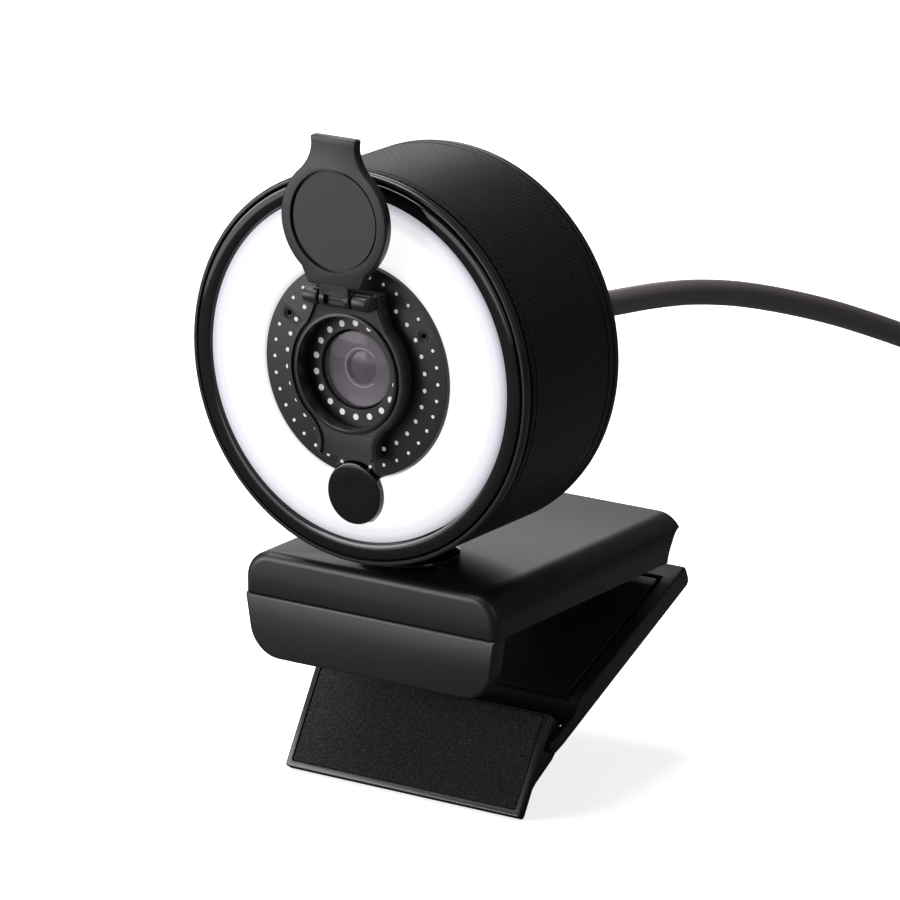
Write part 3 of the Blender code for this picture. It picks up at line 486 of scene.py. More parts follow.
def circuitBoard():
    # solder mask over copper: green lacquer with paler tracks under it, 2.2 mm apart
    mat, shader = newMaterial("greenSolderMask", "0f3d24", 0.35, IOR=1.5)
    here = addNode(mat, "TexCoord", {}).outputs["Object"]
    layout = {
        "Vector": here,
        "Color1": colour("0d3720"),
        "Color2": colour("12452a"),
        "Mortar": colour("1d6a3d"),
        "Scale": 1 / (2.2 * mm),
        "Mortar Size": 0.03,
    }
    tracks = addNode(mat, "TexBrick", layout)
    feed(mat, shader, Base_Color=tracks.outputs["Color"])
    return mat


def makeMaterials():
    return {
        # ABS, moulded with a fine spark finish: dark, satin, with a soft sheen on top
        "shell": mouldedPlastic("mouldedBlackAbs", "1a1718", "1f1b1c", 0.4, 0.22, 0.01),
        "sleeve": sleevePlastic(),
        # ABS from a polished mould: piano black, clear reflections
        "gloss": mouldedPlastic("polishedBlackAbs", "0b0b0c", "0e0d0e", 0.09, 0.9, 0.0012, spread=0.02),
        # ABS, satin, between the two
        "lip": mouldedPlastic("satinBlackAbs", "252223", "2b2829", 0.26, 0.5, 0.004, spread=0.03),
        # polycarbonate panel with a matt print
        "panel": mouldedPlastic("mattBlackPanel", "121011", "171515", 0.5, 0.3, 0.008, ior=1.58),
        # flip cover, satin polypropylene: a little greyer than the drum
        "cover": mouldedPlastic(
            "satinBlackPolypropylene", "252223", "2b2829", 0.38, 0.3, 0.008, ior=1.49
        ),
        # thermoplastic rubber: dull, with a fine grain
        "rubber": mouldedPlastic("mouldedTpe", "1a1718", "221f20", 0.6, 0.25, 0.015, ior=1.5),
        # PVC sheath, extruded: smooth, with a long soft highlight; its mid-grey colour is painted sheen
        # on a black sheath
        "cable": mouldedPlastic("extrudedPvcPaintedSheen", "625d62", "696469", 0.42, 0.8, 0.01, ior=1.53),
        # white ink, with a painted glow that makes it brighter than the lamps alone light it
        "print": mouldedPlastic(
            "whitePrintPaintedGlow", "f2f2f2", "e4e4e6", 0.5, 0.2, 0.004,
            Emission_Color=(1.0, 1.0, 1.0, 1.0), Emission_Strength=0.22,
        ),
        # moulded white ABS, and black nylon with a dull grain
        "white": mouldedPlastic("whiteAbs", "e6e5e1", "d9d8d4", 0.45, 0.3, 0.006),
        "resin": mouldedPlastic("blackNylon", "141213", "1a1818", 0.5, 0.2, 0.008),
        # lens cell, seen through the glass: its pale grey is painted reflection of the white light
        "cell": mouldedPlastic("lensCellPaintedReflection", "b0acb4", "b8b4bb", 0.45, 0.4, 0.0005, spread=0.03),
        "glass": coatedGlass(),
        # moulded optical plastic under a violet coating: clear reflections, and a pale grey colour that
        # is painted reflection
        "lens": mouldedPlastic(
            "coatedLensPaintedReflection", "96929a", "9d99a0", 0.14, 2.0, 0.0005, spread=0.02, ior=1.7
        ),
        "opal": opalAcrylic(),
        "foam": evaFoam(),
        "steel": brushedMetal("zincPlatedSteel", "c9c9cc", "97979b", 0.32, 0.4),
        "brass": brushedMetal("turnedBrass", "d9b56a", "a8843f", 0.3, 0.3),
        "gold": brushedMetal("goldPlating", "e2bd62", "c39a3f", 0.22, 0.2),
        "board": circuitBoard(),
    }


# the cable's route points in mm, the same as the solids follow
cordShape = {
    "diameter": 4.3,
    "length": 1.5,
    "pitch": 4.3,
    "coilMiddle": (22.0, 193.0, -24.55),
    "coilRadius": 24.0,
    "run": [
        (0.0, 16.2, 37.3), (0.0, 24.0, 37.1), (0.0, 36.0, 36.3), (0.0, 48.5, 34.9), (0.0, 60.0, 33.5),
        (0.0, 72.0, 31.5), (0.0, 86.0, 28.2), (0.0, 102.0, 23.4), (0.0, 120.0, 17.2), (0.0, 141.0, 9.0),
        (0.0, 156.0, 2.6), (0.2, 170.0, -3.6), (0.9, 182.0, -8.6), (2.1, 193.0, -12.3),
        (4.9, 203.0, -14.6),
    ],
    "tail": [(38.2, 169.8, -13.85), (33.4, 167.4, -13.85), (28.3, 166.6, -13.85)],
    # lanes of the coil, (outwards, upwards) from the middle of its section, in winding order
    "lanes": [(-1, 1), (-1, 0), (-1, -1), (0, -1), (1, -1), (1, 0), (0, 0), (0, 1), (1, 1)],
    "turns": (125, -415),  # degrees, clockwise seen from above
    "change": (-100, -160),  # where each turn moves over to the next lane
    "landing": (125, 58, -15.6),  # the first turn comes down from this height
    "lift": (38, -40, -13.85),  # the last one goes up to this height
    "pointsPerTurn": 20,
}


def ease(k):
    k = min(1.0, max(0.0, k))
    return k * k * (3 - 2 * k)


def coilPoints():
    c = cordShape
    x0, y0, z0 = c["coilMiddle"]
    start, end = c["turns"][0], c["turns"][1] - 360 * (len(c["lanes"]) - 2)
    count = round((start - end) / 360 * c["pointsPerTurn"])
    lastTurn = 360 * (len(c["lanes"]) - 1)
    points = []
    for i in range(count + 1):
        angle = start + (end - start) * i / count
        gone = (c["change"][0] - angle) / 360
        lane = max(0, math.floor(gone)) if gone > 0 else 0
        share = ease((gone - lane) * 360 / (c["change"][0] - c["change"][1])) if gone > 0 else 0.0
        a, b = c["lanes"][lane], c["lanes"][min(lane + 1, len(c["lanes"]) - 1)]
        out = a[0] + (b[0] - a[0]) * share
        z = z0 + (a[1] + (b[1] - a[1]) * share) * c["pitch"]
        high, low, level = c["landing"]
        z = max(z, level + (z - level) * ease((high - angle) / (high - low)))
        high, low, level = c["lift"]
        z += (level - z) * ease((high - (angle + lastTurn)) / (high - low))
        radius = c["coilRadius"] + out * c["pitch"]
        turn = math.radians(angle)
        points.append((x0 + radius * math.cos(turn), y0 + radius * math.sin(turn), z))
    return points


def smoothLine(route, spacing):  # even steps along a smooth curve through the points
    knots = [Vector(p) for p in route]
    knots = [knots[0] * 2 - knots[1]] + knots + [knots[-1] * 2 - knots[-2]]
    fine = []
    for a, b, c, d in zip(knots, knots[1:], knots[2:], knots[3:]):
        for i in range(12):
            k = i / 12
            bend = (2 * a - 5 * b + 4 * c - d) * k**2 + (3 * b - a - 3 * c + d) * k**3
            fine.append(0.5 * (2 * b + (c - a) * k + bend))
    fine.append(knots[-2])
    points = [fine[0]]
    for point in fine[1:]:
        if (point - points[-1]).length >= spacing:
            points.append(point)
    if (points[-1] - fine[-1]).length < spacing / 2:
        points.pop()
    points.append(fine[-1])
    return points


def makeCord(mats):
    route = cordShape["run"] + coilPoints() + cordShape["tail"]
    points = [p * mm for p in smoothLine(route, 1.6)]
    curve = bpy.data.curves.new("cable", "CURVE")
    curve.dimensions = "3D"
    curve.bevel_depth = cordShape["diameter"] / 2 * mm
    curve.bevel_resolution = 6
    curve.use_fill_caps = True
    spline = curve.splines.new("POLY")
    spline.points.add(len(points) - 1)
    for point, place in zip(spline.points, points):
        point.co = (*place, 1)
    cord = bpy.data.objects.new("cable", curve)
    bpy.context.scene.collection.objects.link(cord)
    choose(cord)
    bpy.ops.object.convert(target="MESH")
    cord = bpy.context.object
    cord.name = cord.data.name = "cable"
    bpy.ops.object.mode_set(mode="EDIT")
    closeUp(cord)
    done(cord, mats["cable"], None, "cable", "cable_run", "cable_coil", "cable_tail", angle=60)
    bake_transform(cord)
    return cord, points


# reach is counted from the middle of the coil's section, in mm
strapShape = {"angle": 45, "width": 5.0, "reach": 7.4, "thick": 0.6}


def makeTie(mats):
    # a hook-and-loop strap round the turns, made at the middle and then turned to its place
    w = strapShape
    x0, y0, z0 = cordShape["coilMiddle"]
    near, far = cordShape["coilRadius"] - w["reach"], cordShape["coilRadius"] + w["reach"]
    half, wall = w["width"] / 2, w["thick"]
    bottom, top = z0 - w["reach"], z0 + w["reach"]
    tie = roundBlock("cable_strap", (near, -half, bottom), (far, half, top), "Y", 2.5)
    low, high = (near + wall, -half - 1, bottom + wall), (far - wall, half + 1, top - wall)
    carve(tie, roundBlock("strap_inner", low, high, "Y", 2.0))
    soften(tie, 0.15, 2)
    choose(tie)
    tie.rotation_euler = (0, 0, math.radians(w["angle"]))
    tie.location = (x0 * mm, y0 * mm, 0)
    settle(tie)
    return done(tie, mats["rubber"], "neck", "rubber", "cable_tie")


# all in mm; latches and contacts are placed from the shell's open end
plug = {
    "collar": 6.4,
    "ribs": 5,
    "ribPitch": 1.5,
    "ribWidth": 0.7,
    "ribDepth": 0.3,
    "wall": 0.32,
    "latchSide": 2.2,
    "latchAcross": 3.0,
    "latchIn": 3.6,
    "contacts": 4,
    "contactWidth": 1.0,
}


def makePlug(mats):
    p = plug
    low, high = [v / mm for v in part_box("plug_body")]
    mid = (low + high) / 2
    grip = roundBlock("plug_grip", low, (high.x - p["collar"], high.y, high.z), "X", 1.8)
    soften(grip, 0.5, 3, 50)
    # shallow finger ribs across the top and bottom of the grip
    deep = p["ribDepth"]
    for i in range(p["ribs"]):
        x = low.x + 4.6 + p["ribPitch"] * i
        for z in (low.z, high.z):
            end = (x + p["ribWidth"], mid.y + 5, z + deep)
            carve(grip, block("rib", (x, mid.y - 5, z - deep), end))
    done(grip, mats["rubber"], "neck", "rubber", "plug_body")
    relief = [(3.3, -6.9), (3.3, -5.4), (3.05, -5.0), (3.05, -4.6), (3.15, -4.2), (3.1, -3.4)]
    relief += [(2.8, -3.0), (2.8, -2.6), (2.95, -2.2), (2.85, -1.4), (2.6, -1.0), (2.6, -0.4)]
    relief += [(2.35, 0.0)]
    collar = lathe("plug_relief", Vector((high.x, mid.y, mid.z)) * mm, "X", relief, 48)
    done(collar, mats["rubber"], "neck", "rubber")

    low, high = [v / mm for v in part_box("plug_shell")]
    can = roundBlock("plug_can", low, high, "X", 0.45, 3)
    wall, side = p["wall"], p["latchSide"]
    mouth = ((low.x - 1, low.y + wall, low.z + wall), (high.x - 0.4, high.y - wall, high.z - wall))
    carve(can, block("mouth", *mouth))
    for across in (-p["latchAcross"], p["latchAcross"]):
        for z in (low.z, high.z):
            x, y = low.x + p["latchIn"], mid.y + across
            carve(can, block("latch", (x, y - side / 2, z - 0.6), (x + side, y + side / 2, z + 0.6)))
    soften(can, 0.06, 2)
    done(can, mats["steel"], "neck", "steel", "plug_shell")

    low, high = [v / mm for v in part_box("plug_tongue")]
    tongue = roundBlock("plug_insert", low, high, "Z", 0.3, 3)
    soften(tongue, 0.1, 2)
    done(tongue, mats["white"], "neck", "white", "plug_tongue")
    strips = []
    half, top = p["contactWidth"] / 2, high.z
    for i in range(p["contacts"]):
        y = mid.y - 3.5 + 7 / 3 * i
        corners = ((low.x + 0.8, y - half, top - 0.05), (high.x - 1, y + half, top + 0.12))
        strip = block(f"contact_{i + 1}", *corners)
        soften(strip, 0.05, 2)
        strips.append(done(strip, mats["gold"], "neck", "steel"))
    return [grip, collar, can, tongue] + strips


# the drum, sizes in mm: radii, and depths behind the front of the face
casing = {
    "lipRadius": 31.0,
    "sleeveRadius": 30.8,
    "grooveRadius": 30.42,
    "boreRadius": 29.0,
    "slot": (4.6, 7.0),
    "steps": 192,
}


def makeCasing(mats):
    c = casing
    # the bright front lip is its own ring; a black gap parts it from the sleeve
    lipR = c["lipRadius"]
    edge = [(lipR - 0.42 + 0.42 * math.cos(a), 0.62 - 0.42 * math.sin(a)) for a in sweep(90, 0, 5)]
    back = [(lipR - 0.3 + 0.3 * math.cos(a), 1.35 + 0.3 * math.sin(a)) for a in sweep(0, 90, 4)]
    front = [(30.25, 3.4), (30.25, 0.34), (30.33, 0.22)] + edge + back + [(30.3, 1.65), (30.3, 3.4)]
    lip = lathe("front_lip", head, "Y", front, c["steps"], ring=True)
    done(lip, mats["lip"], "head", "gloss")

    r, groove = c["sleeveRadius"], c["grooveRadius"] + 0.05
    profile = [(c["boreRadius"], 3.75), (groove, 3.75), (groove, 2.75), (30.62, 2.58)]
    profile += [(r - 0.02, 2.68), (r, 2.86), (r, 3.4), (r - 0.1, 3.5), (r - 0.1, 3.66), (r, 3.76)]
    profile += [(r, 23.3), (r - 0.16, 23.4), (r - 0.16, 23.62), (r, 23.72), (r, 24.86)]
    profile += [(r - 0.06, 25.02), (r - 0.24, 25.1), (29.0, 25.1)]
    sleeve = lathe("drum_sleeve", head, "Y", profile, c["steps"], ring=True)
    half, reach = c["slot"]
    middle = neck.y / mm
    carve(sleeve, block("neck_slot", (-half, middle - reach, 6.0), (half, middle + reach, 13.6)))
    return done(sleeve, mats["sleeve"], "head", "sleeve", "drum_shell")


# the microphones' place is across and up from the middle of the face, in mm
face = {"notch": 5.12, "microphone": (12.5, 7.2), "opalRadii": (17.15, 27.25), "panelRadius": 16.85}


def makeFace(mats):
    rim = [(27.55, 3.2), (27.55, 0.28), (27.62, 0.1), (27.8, 0.02), (29.6, 0.0), (29.82, 0.06)]
    rim += [(29.93, 0.2), (29.95, 0.4), (29.95, 3.2)]
    bezel = lathe("gloss_bezel", head, "Y", rim, casing["steps"], ring=True)
    done(bezel, mats["gloss"], "head", "gloss", "front_bezel")

    inner, outer = face["opalRadii"]
    opal = [(inner, 1.8), (inner, 0.4), (17.25, 0.22), (17.5, 0.15), (19.5, 0.1), (24.9, 0.1)]
    opal += [(26.9, 0.15), (27.15, 0.22), (outer, 0.4), (outer, 1.8)]
    ring = lathe("light_ring", head, "Y", opal, casing["steps"], ring=True)
    carve(ring, bar("notch", face["notch"], button, "Y", -3, 4, 96))
    done(ring, mats["opal"], "head", "diffuser", "light_diffuser")

    r = face["panelRadius"]
    disc = [(6.3, 1.6), (6.3, 0.12), (6.45, 0.0), (16.6, 0.0), (16.8, 0.07), (r, 0.25), (r, 1.6)]
    panel = lathe("centre_disc", head, "Y", disc, 160, ring=True)
    carve(panel, bar("notch", face["notch"], button, "Y", -3, 4, 96))
    across, up = face["microphone"]
    for side, x in (("left", -across), ("right", across)):
        spot = head + Vector((x, 0, up)) * mm
        carve(panel, bar("well", 0.95, spot, "Y", -1, 0.22, 32))
        carve(panel, bar("hole", 0.42, spot, "Y", -1, 3, 24))
        rim = [(0.62, 0.2), (0.62, 0.06), (0.8, 0.06), (0.8, 0.2)]
        rimRing = lathe(f"microphone_rim_{side}", spot, "Y", rim, 32, ring=True)
        done(rimRing, mats["lip"], "head", "gloss")
    done(panel, mats["panel"], "head", "panel", "centre_panel")


# three rings of printed spots: radius, how many, first angle, spot radius, all in mm and degrees
spotRings = [(15.15, 36, 0, 0.27), (12.8, 30, 6, 0.34), (7.42, 18, 10, 0.5)]


def makeSpots(mats):
    across, up = face["microphone"]
    spots = []
    for ringRadius, count, firstAngle, size in spotRings:
        for i in range(count):
            angle = math.radians(firstAngle + 360 * i / count)
            place = head + Vector((ringRadius * math.cos(angle), 0, ringRadius * math.sin(angle))) * mm
            microphone = Vector((math.copysign(across, place.x), 0, up)) * mm
            nearMicrophone = (place - head - microphone).length < 1.5 * mm
            if nearMicrophone or (place - button).length < 5.2 * mm:
                continue
            if not spots:
                spots.append((bar("printed_spots", size, place, "Y", -0.02, 0.03, 20), place, size))
                continue
            model, home, base = spots[0]
            copy = model.copy()
            copy.data = model.data.copy()
            bpy.context.scene.collection.objects.link(copy)
            grow = size / base
            copy.scale = (grow, 1, grow)
            copy.location = place - Vector((home.x * grow, home.y, home.z * grow))
            spots.append((copy, place, size))
    clearSelection()
    for spot, _, _ in spots:
        spot.select_set(True)
    bpy.context.view_layer.objects.active = spots[0][0]
    bpy.ops.object.join()
    piece = bpy.context.object
    settle(piece)
    # the spots take the white print finish with its painted glow
    return done(piece, mats["print"], "head", "diffuser")


lens = {"radius": 2.58, "ball": 10.0, "front": 2.1, "steps": 8}  # mm; its front is part of a ball


def makeLens(mats):
    # a thin cover glass, and behind it a cell painted pale grey for the reflection, with the front lens
    # in it
    pane = [(5.7, 0.95), (5.95, 0.85), (6.0, 0.7), (6.0, 0.4), (5.95, 0.28), (5.75, 0.2)]
    glass = lathe("cover_glass", head, "Y", pane, 96)
    done(glass, mats["glass"], "head", "glass", "lens_window")
    cell = [(5.95, 12.0), (5.95, 1.3), (5.85, 1.22), (4.2, 1.4), (3.3, 1.6), (2.7, 1.65), (2.6, 1.75)]
    cell += [(2.6, 12.0)]
    barrel = lathe("lens_cell", head, "Y", cell, 96, ring=True)
    done(barrel, mats["cell"], "head", "chip", "lens_barrel")
    # a thin ring of the glowing white print, open on one side: painted highlight arcs on the lens
    band = [(3.05 + 0.09 * math.cos(a), 1.6 + 0.09 * math.sin(a)) for a in sweep(0, 360, 12)[:-1]]
    highlightArcs = lathe("lens_highlight_arcs", head, "Y", band, 96, ring=True)
    carve(highlightArcs, block("gap", (1.5, -30, head.z / mm - 2.2), (4, -10, head.z / mm + 1.9)))
    done(highlightArcs, mats["print"], "head", "steel")
    r0, ball = lens["radius"], lens["ball"]
    curved = []
    for i in range(lens["steps"] + 1):
        r = r0 - (r0 - 0.05) * i / lens["steps"]
        rise = math.sqrt(ball**2 - r * r) - math.sqrt(ball**2 - r0**2)
        curved.append((r, lens["front"] - rise))
    front = lathe("front_lens", head, "Y", [(r0, 6.0)] + curved, 64)
    done(front, mats["lens"], "head", "glass", "lens_element", angle=60)


def makeButton(mats):
    profile = [(1.5, 2.4), (1.5, 0.9), (4.9, 0.9), (4.9, -0.52), (4.86, -0.63), (4.77, -0.71)]
    profile += [(4.6, -0.75), (2.4, -0.72), (0.3, -0.7)]
    piece = lathe("round_button", button, "Y", profile, 112)
    return done(piece, mats["gloss"], "button", "gloss", "touch_button")


# lens cover, sizes in mm from the middle of the face; depths grow towards the back
cover = {
    "ringRadius": 10.8,
    "holeRadius": 8.9,
    "front": -2.9,
    "back": -0.3,
    "tabEnd": 13.3,
    "tabHalf": 5.4,
    "webHalf": 6.1,
    "flapRadius": 9.7,
    "flapMiddle": 24.5,
    "flapTabHalf": 4.2,
    "flapLow": -5.8,
    "flapHigh": -4.2,
}


def flank(x0, z0, x1, z1, waist, steps=8):  # a concave edge between two points
    points = []
    for i in range(steps + 1):
        k = i / steps
        points.append((x0 * (1 - k) ** 2 + 2 * waist * k * (1 - k) + x1 * k * k, z0 + (z1 - z0) * k))
    return points


def mirrored(points):
    return [(-x, z) for x, z in reversed(points)]


def coverOutline(stretch=0.0):  # the ring with its finger tab below and its hinge web above
    c = cover
    rise = (coverHinge.z - head.z) / mm
    r, end, half, web = c["ringRadius"], c["tabEnd"], c["tabHalf"], c["webHalf"]
    low, high = math.radians(-42), math.radians(45)
    right = [(half - 0.4, -end - stretch), (half, -end + 0.4 - stretch)]
    right += flank(half, -end + 0.8, r * math.cos(low), r * math.sin(low), 4.6)
    right += arc(0, 0, r, -39, 42, 28)
    right += flank(r * math.cos(high), r * math.sin(high), web, rise + 0.9, 6.0, 6)
    right += [(web, rise + 0.92 + stretch)]
    return shifted(right + mirrored(right), 0, head.z / mm)


def makeCoverBase(mats):
    c = cover
    y = facePlane / mm
    hole = shifted(arc(0, 0, c["holeRadius"], 0, 360, 96)[:-1], 0, head.z / mm)
    front = c["front"]
    base = cutOut("cover_ring", [coverOutline(), hole], y + front, y + c["back"], 0.3)
    # its face is sunk between a bead along the outline and a lip round the opening
    carve(base, cutOut("face", [coverOutline(1.5)], y + front - 1, y + front + 0.5, 0.01, inset=0.75))
    lip = [(8.9, front + 1), (8.9, front + 0.12), (8.98, front + 0.02), (9.35, front + 0.02)]
    lip += [(9.5, front + 0.12), (9.55, front + 1)]
    weld(base, lathe("opening_lip", head, "Y", lip, 96, ring=True))
    for x in (-5.95, 3.15):
        eye = bar("eye", 1.3, coverHinge, "X", x, x + 2.8, 40)
        soften(eye, 0.25)
        weld(base, eye)
        foot = block(
            "eye_foot",
            (x + 0.1, y - 4.6, coverHinge.z / mm - 1.3),
            (x + 2.7, y + front + 0.6, coverHinge.z / mm + 0.75),
        )
        weld(base, foot)
    return done(base, mats["cover"], "head", "cover", "cover_base")


def makeFlap(mats):
    c = cover
    r = c["flapRadius"]
    rise, up, half = (coverHinge.z - head.z) / mm, c["flapMiddle"], c["flapTabHalf"]
    tabRoot = math.radians(52)
    right = [(2.7, rise + 0.4 - up), (2.7, 14.3 - up), (4.7, 14.35 - up), (4.95, 14.7 - up)]
    right += arc(0, 0, r, -52, 50, 34)
    right += flank(r * math.cos(tabRoot), r * math.sin(tabRoot), half, 12.6, 3.7)
    right += [(half, 12.75), (half - 0.3, 13.0)]
    outline = shifted(right + mirrored(right), 0, head.z / mm + up)
    y = facePlane / mm
    flap = cutOut("lens_flap", [outline], y + c["flapLow"], y + c["flapHigh"], 0.3)
    middle = head + Vector((0, 0, up)) * mm
    # the disc lies in a round recess with a narrow trench at its wall
    carve(flap, bar("recess", 8.0, middle, "Y", c["flapLow"] - 1, c["flapLow"] + 0.3, 112))
    trench = [(7.55, -9.0), (8.0, -9.0), (8.0, c["flapLow"] + 0.62), (7.55, c["flapLow"] + 0.62)]
    carve(flap, lathe("trench", middle, "Y", trench, 112, ring=True))
    eye = bar("eye", 1.3, coverHinge, "X", -2.8, 2.8, 40)
    soften(eye, 0.2)
    weld(flap, eye)
    # a window in the front of the eye, where the pin shows
    _, hingeY, hingeZ = coverHinge / mm
    window = ((-1.85, hingeY - 2, hingeZ - 0.78), (1.85, hingeY - 0.5, hingeZ + 0.78))
    carve(flap, block("window", *window))
    return done(flap, mats["cover"], "cover", "cover", "cover_flap")


# ribs of the strain relief in mm: start is behind the face, each rib is smaller by the taper
reliefShape = {"ribs": 5, "pitch": 2.4, "start": 29.2, "radius": 3.9, "taper": 0.22}


def makeBack(mats):
    rings = [(27.2, 23.2), (28.7, 23.2), (28.7, 25.42), (30.7, 25.42), (30.8, 25.52), (30.8, 26.1)]
    rings += [(30.7, 26.5), (30.4, 26.85), (29.9, 27.1), (29.3, 27.2), (23.2, 27.2), (22.9, 27.1)]
    rings += [(22.6, 26.85), (22.3, 26.75), (22.0, 26.85), (21.7, 26.9), (0.5, 26.9), (0.5, 25.6)]
    plate = lathe("back_cover", head, "Y", rings + [(27.2, 25.6)], 160, ring=True)
    exitMid = Vector((0, facePlane, middleOf("strain_relief").z))
    carve(plate, bar("gland", 3.3, exitMid, "Y", 20, 30, 48))
    for i in range(4):
        screwMid = middleOf(f"rear_screw_{i + 1}")
        spot = Vector((screwMid.x, facePlane, screwMid.z))
        well = [(2.35, 29.0), (2.35, 27.0), (2.15, 26.7), (2.15, 26.3)]
        carve(plate, lathe("well", spot, "Y", well, 36))
        carve(plate, bar("hole", 1.2, spot, "Y", 20, 28, 24))
        shape = [(0.95, 18.6), (0.95, 26.5), (1.9, 26.5), (1.92, 26.75), (1.8, 26.95), (1.4, 27.07)]
        screw = lathe(f"back_screw_{i + 1}", spot, "Y", shape + [(0.6, 27.1)], 36)
        crossSlot(screw, spot + Vector((0, 27.1, 0)) * mm, "Y", 1.15, 0.42, 0.5)
        done(screw, mats["steel"], "head", "steel", f"rear_screw_{i + 1}")
    done(plate, mats["shell"], "head", "shell", "rear_cover")

    ribs = [(3.0, 24.3), (3.9, 24.3), (3.9, 25.2), (3.1, 25.2), (3.1, 27.25), (4.25, 27.3)]
    ribs += [(4.4, 27.45), (4.4, 28.9), (4.2, 29.2)]
    for i in range(reliefShape["ribs"]):
        start = reliefShape["start"] + reliefShape["pitch"] * i
        r = reliefShape["radius"] - reliefShape["taper"] * i
        ribs += [(r - 0.4, start + 0.05), (r - 0.5, start + 0.2), (r - 0.5, start + 0.8)]
        ribs += [(r - 0.15, start + 0.95), (r, start + 1.15), (r - 0.02, start + 1.9)]
        ribs += [(r - 0.15, start + 2.15)]
    ribs += [(2.5, 41.5), (2.2, 41.58)]
    relief = lathe("cable_relief", exitMid, "Y", ribs, 64)
    done(relief, mats["rubber"], "head", "rubber", "strain_relief")


def crossSlot(piece, top, axis, reach, width, deep):  # a cross recess cut into a screw's head
    x, y, z = top / mm
    for a, b in ((reach, width / 2), (width / 2, reach)):
        if axis == "Y":
            low, high = (x - a, y - deep, z - b), (x + a, y + 1, z + b)
        else:
            low, high = (x - a, y - b, z - 1), (x + a, y + b, z + deep)
        carve(piece, block("cross", low, high))


def makeNeck(mats):
    base = plateTop / mm  # the round foot stands on the clip's plate
    foot = [(4.0, 5.2), (4.0, base + 0.3), (7.85, base + 0.3), (8.0, base + 0.42), (8.0, base + 0.75)]
    foot += [(7.9, base + 0.9), (7.6, base + 1.0), (4.5, base + 1.4), (0.5, base + 1.5)]
    post = lathe("neck_foot", neck, "Z", foot, 96)
    y, top = neck.y / mm, tiltAxis.z / mm + 3.4
    lug = roundBlock("lug", (-3.2, y - 3.4, 8.0), (3.2, y + 3.4, top), "X", 3.3, 10)
    weld(post, lug)
    carve(post, bar("bore", 1.56, tiltAxis, "X", -8, 8, 32))
    return done(post, mats["gloss"], "neck", "gloss", "neck_post")


# all in mm
clip = {
    "rear": 31.5,
    "shoulder": 4.6,
    "wall": 1.6,
    "seam": 0.1,
    "lipDepth": 3.2,
    "lipCorner": 5.6,
    "lipDraw": 0.8,
    "scoop": 5.5,
    "knuckle": 2.6,
}


def topSide(edge):  # the two upper edges that run from front to back
    a, b = (v.co for v in edge.verts)
    return abs(a.y - b.y) > 0.01 and a.z > 0.004


def frontRim(edge):  # the edges round the front, but not the one at the seam
    a, b = (v.co for v in edge.verts)
    return max(a.y, b.y) < plateFront + 1e-5 and max(a.z, b.z) > 0.0006


def makeTopShell(mats):
    c = clip
    half, front, top = plateHalf / mm, plateFront / mm, plateTop / mm
    shell = block("clip_cap", (-half, front, c["seam"]), (half, c["rear"], top))
    bpy.ops.object.mode_set(mode="EDIT")
    pick(shell, "edges", topSide)
    bpy.ops.mesh.bevel(offset=c["shoulder"] * mm, segments=14, affect="EDGES")
    pick(shell, "edges", frontRim)
    bpy.ops.mesh.bevel(offset=1.4 * mm, segments=6, affect="EDGES")
    closeUp(shell)
    inner = half - c["wall"]
    carve(shell, block("hollow", (-inner, front + c["wall"], -2), (inner, 25.2, top - c["wall"])))
    carve(shell, bar("scoop", c["scoop"], armHinge, "X", -30, 30, 96))
    carve(shell, bar("swivelHole", 4.15, neck, "Z", 3, 9, 48))
    for x in (-9.0, 4.3):
        lug = bar("lug", c["knuckle"], armHinge, "X", x, x + 4.7, 40)
        high = (x + 4.7, armHinge.y / mm, armHinge.z / mm + c["knuckle"])
        weld(lug, block("web", (x, 25.6, 0.6), high))
        weld(shell, lug)
    carve(shell, bar("bore", 1.06, armHinge, "X", -20, 20, 24))
    soften(shell, 0.12, 2, 50)
    return done(shell, mats["shell"], "clip", "shell", "clip_top_shell")


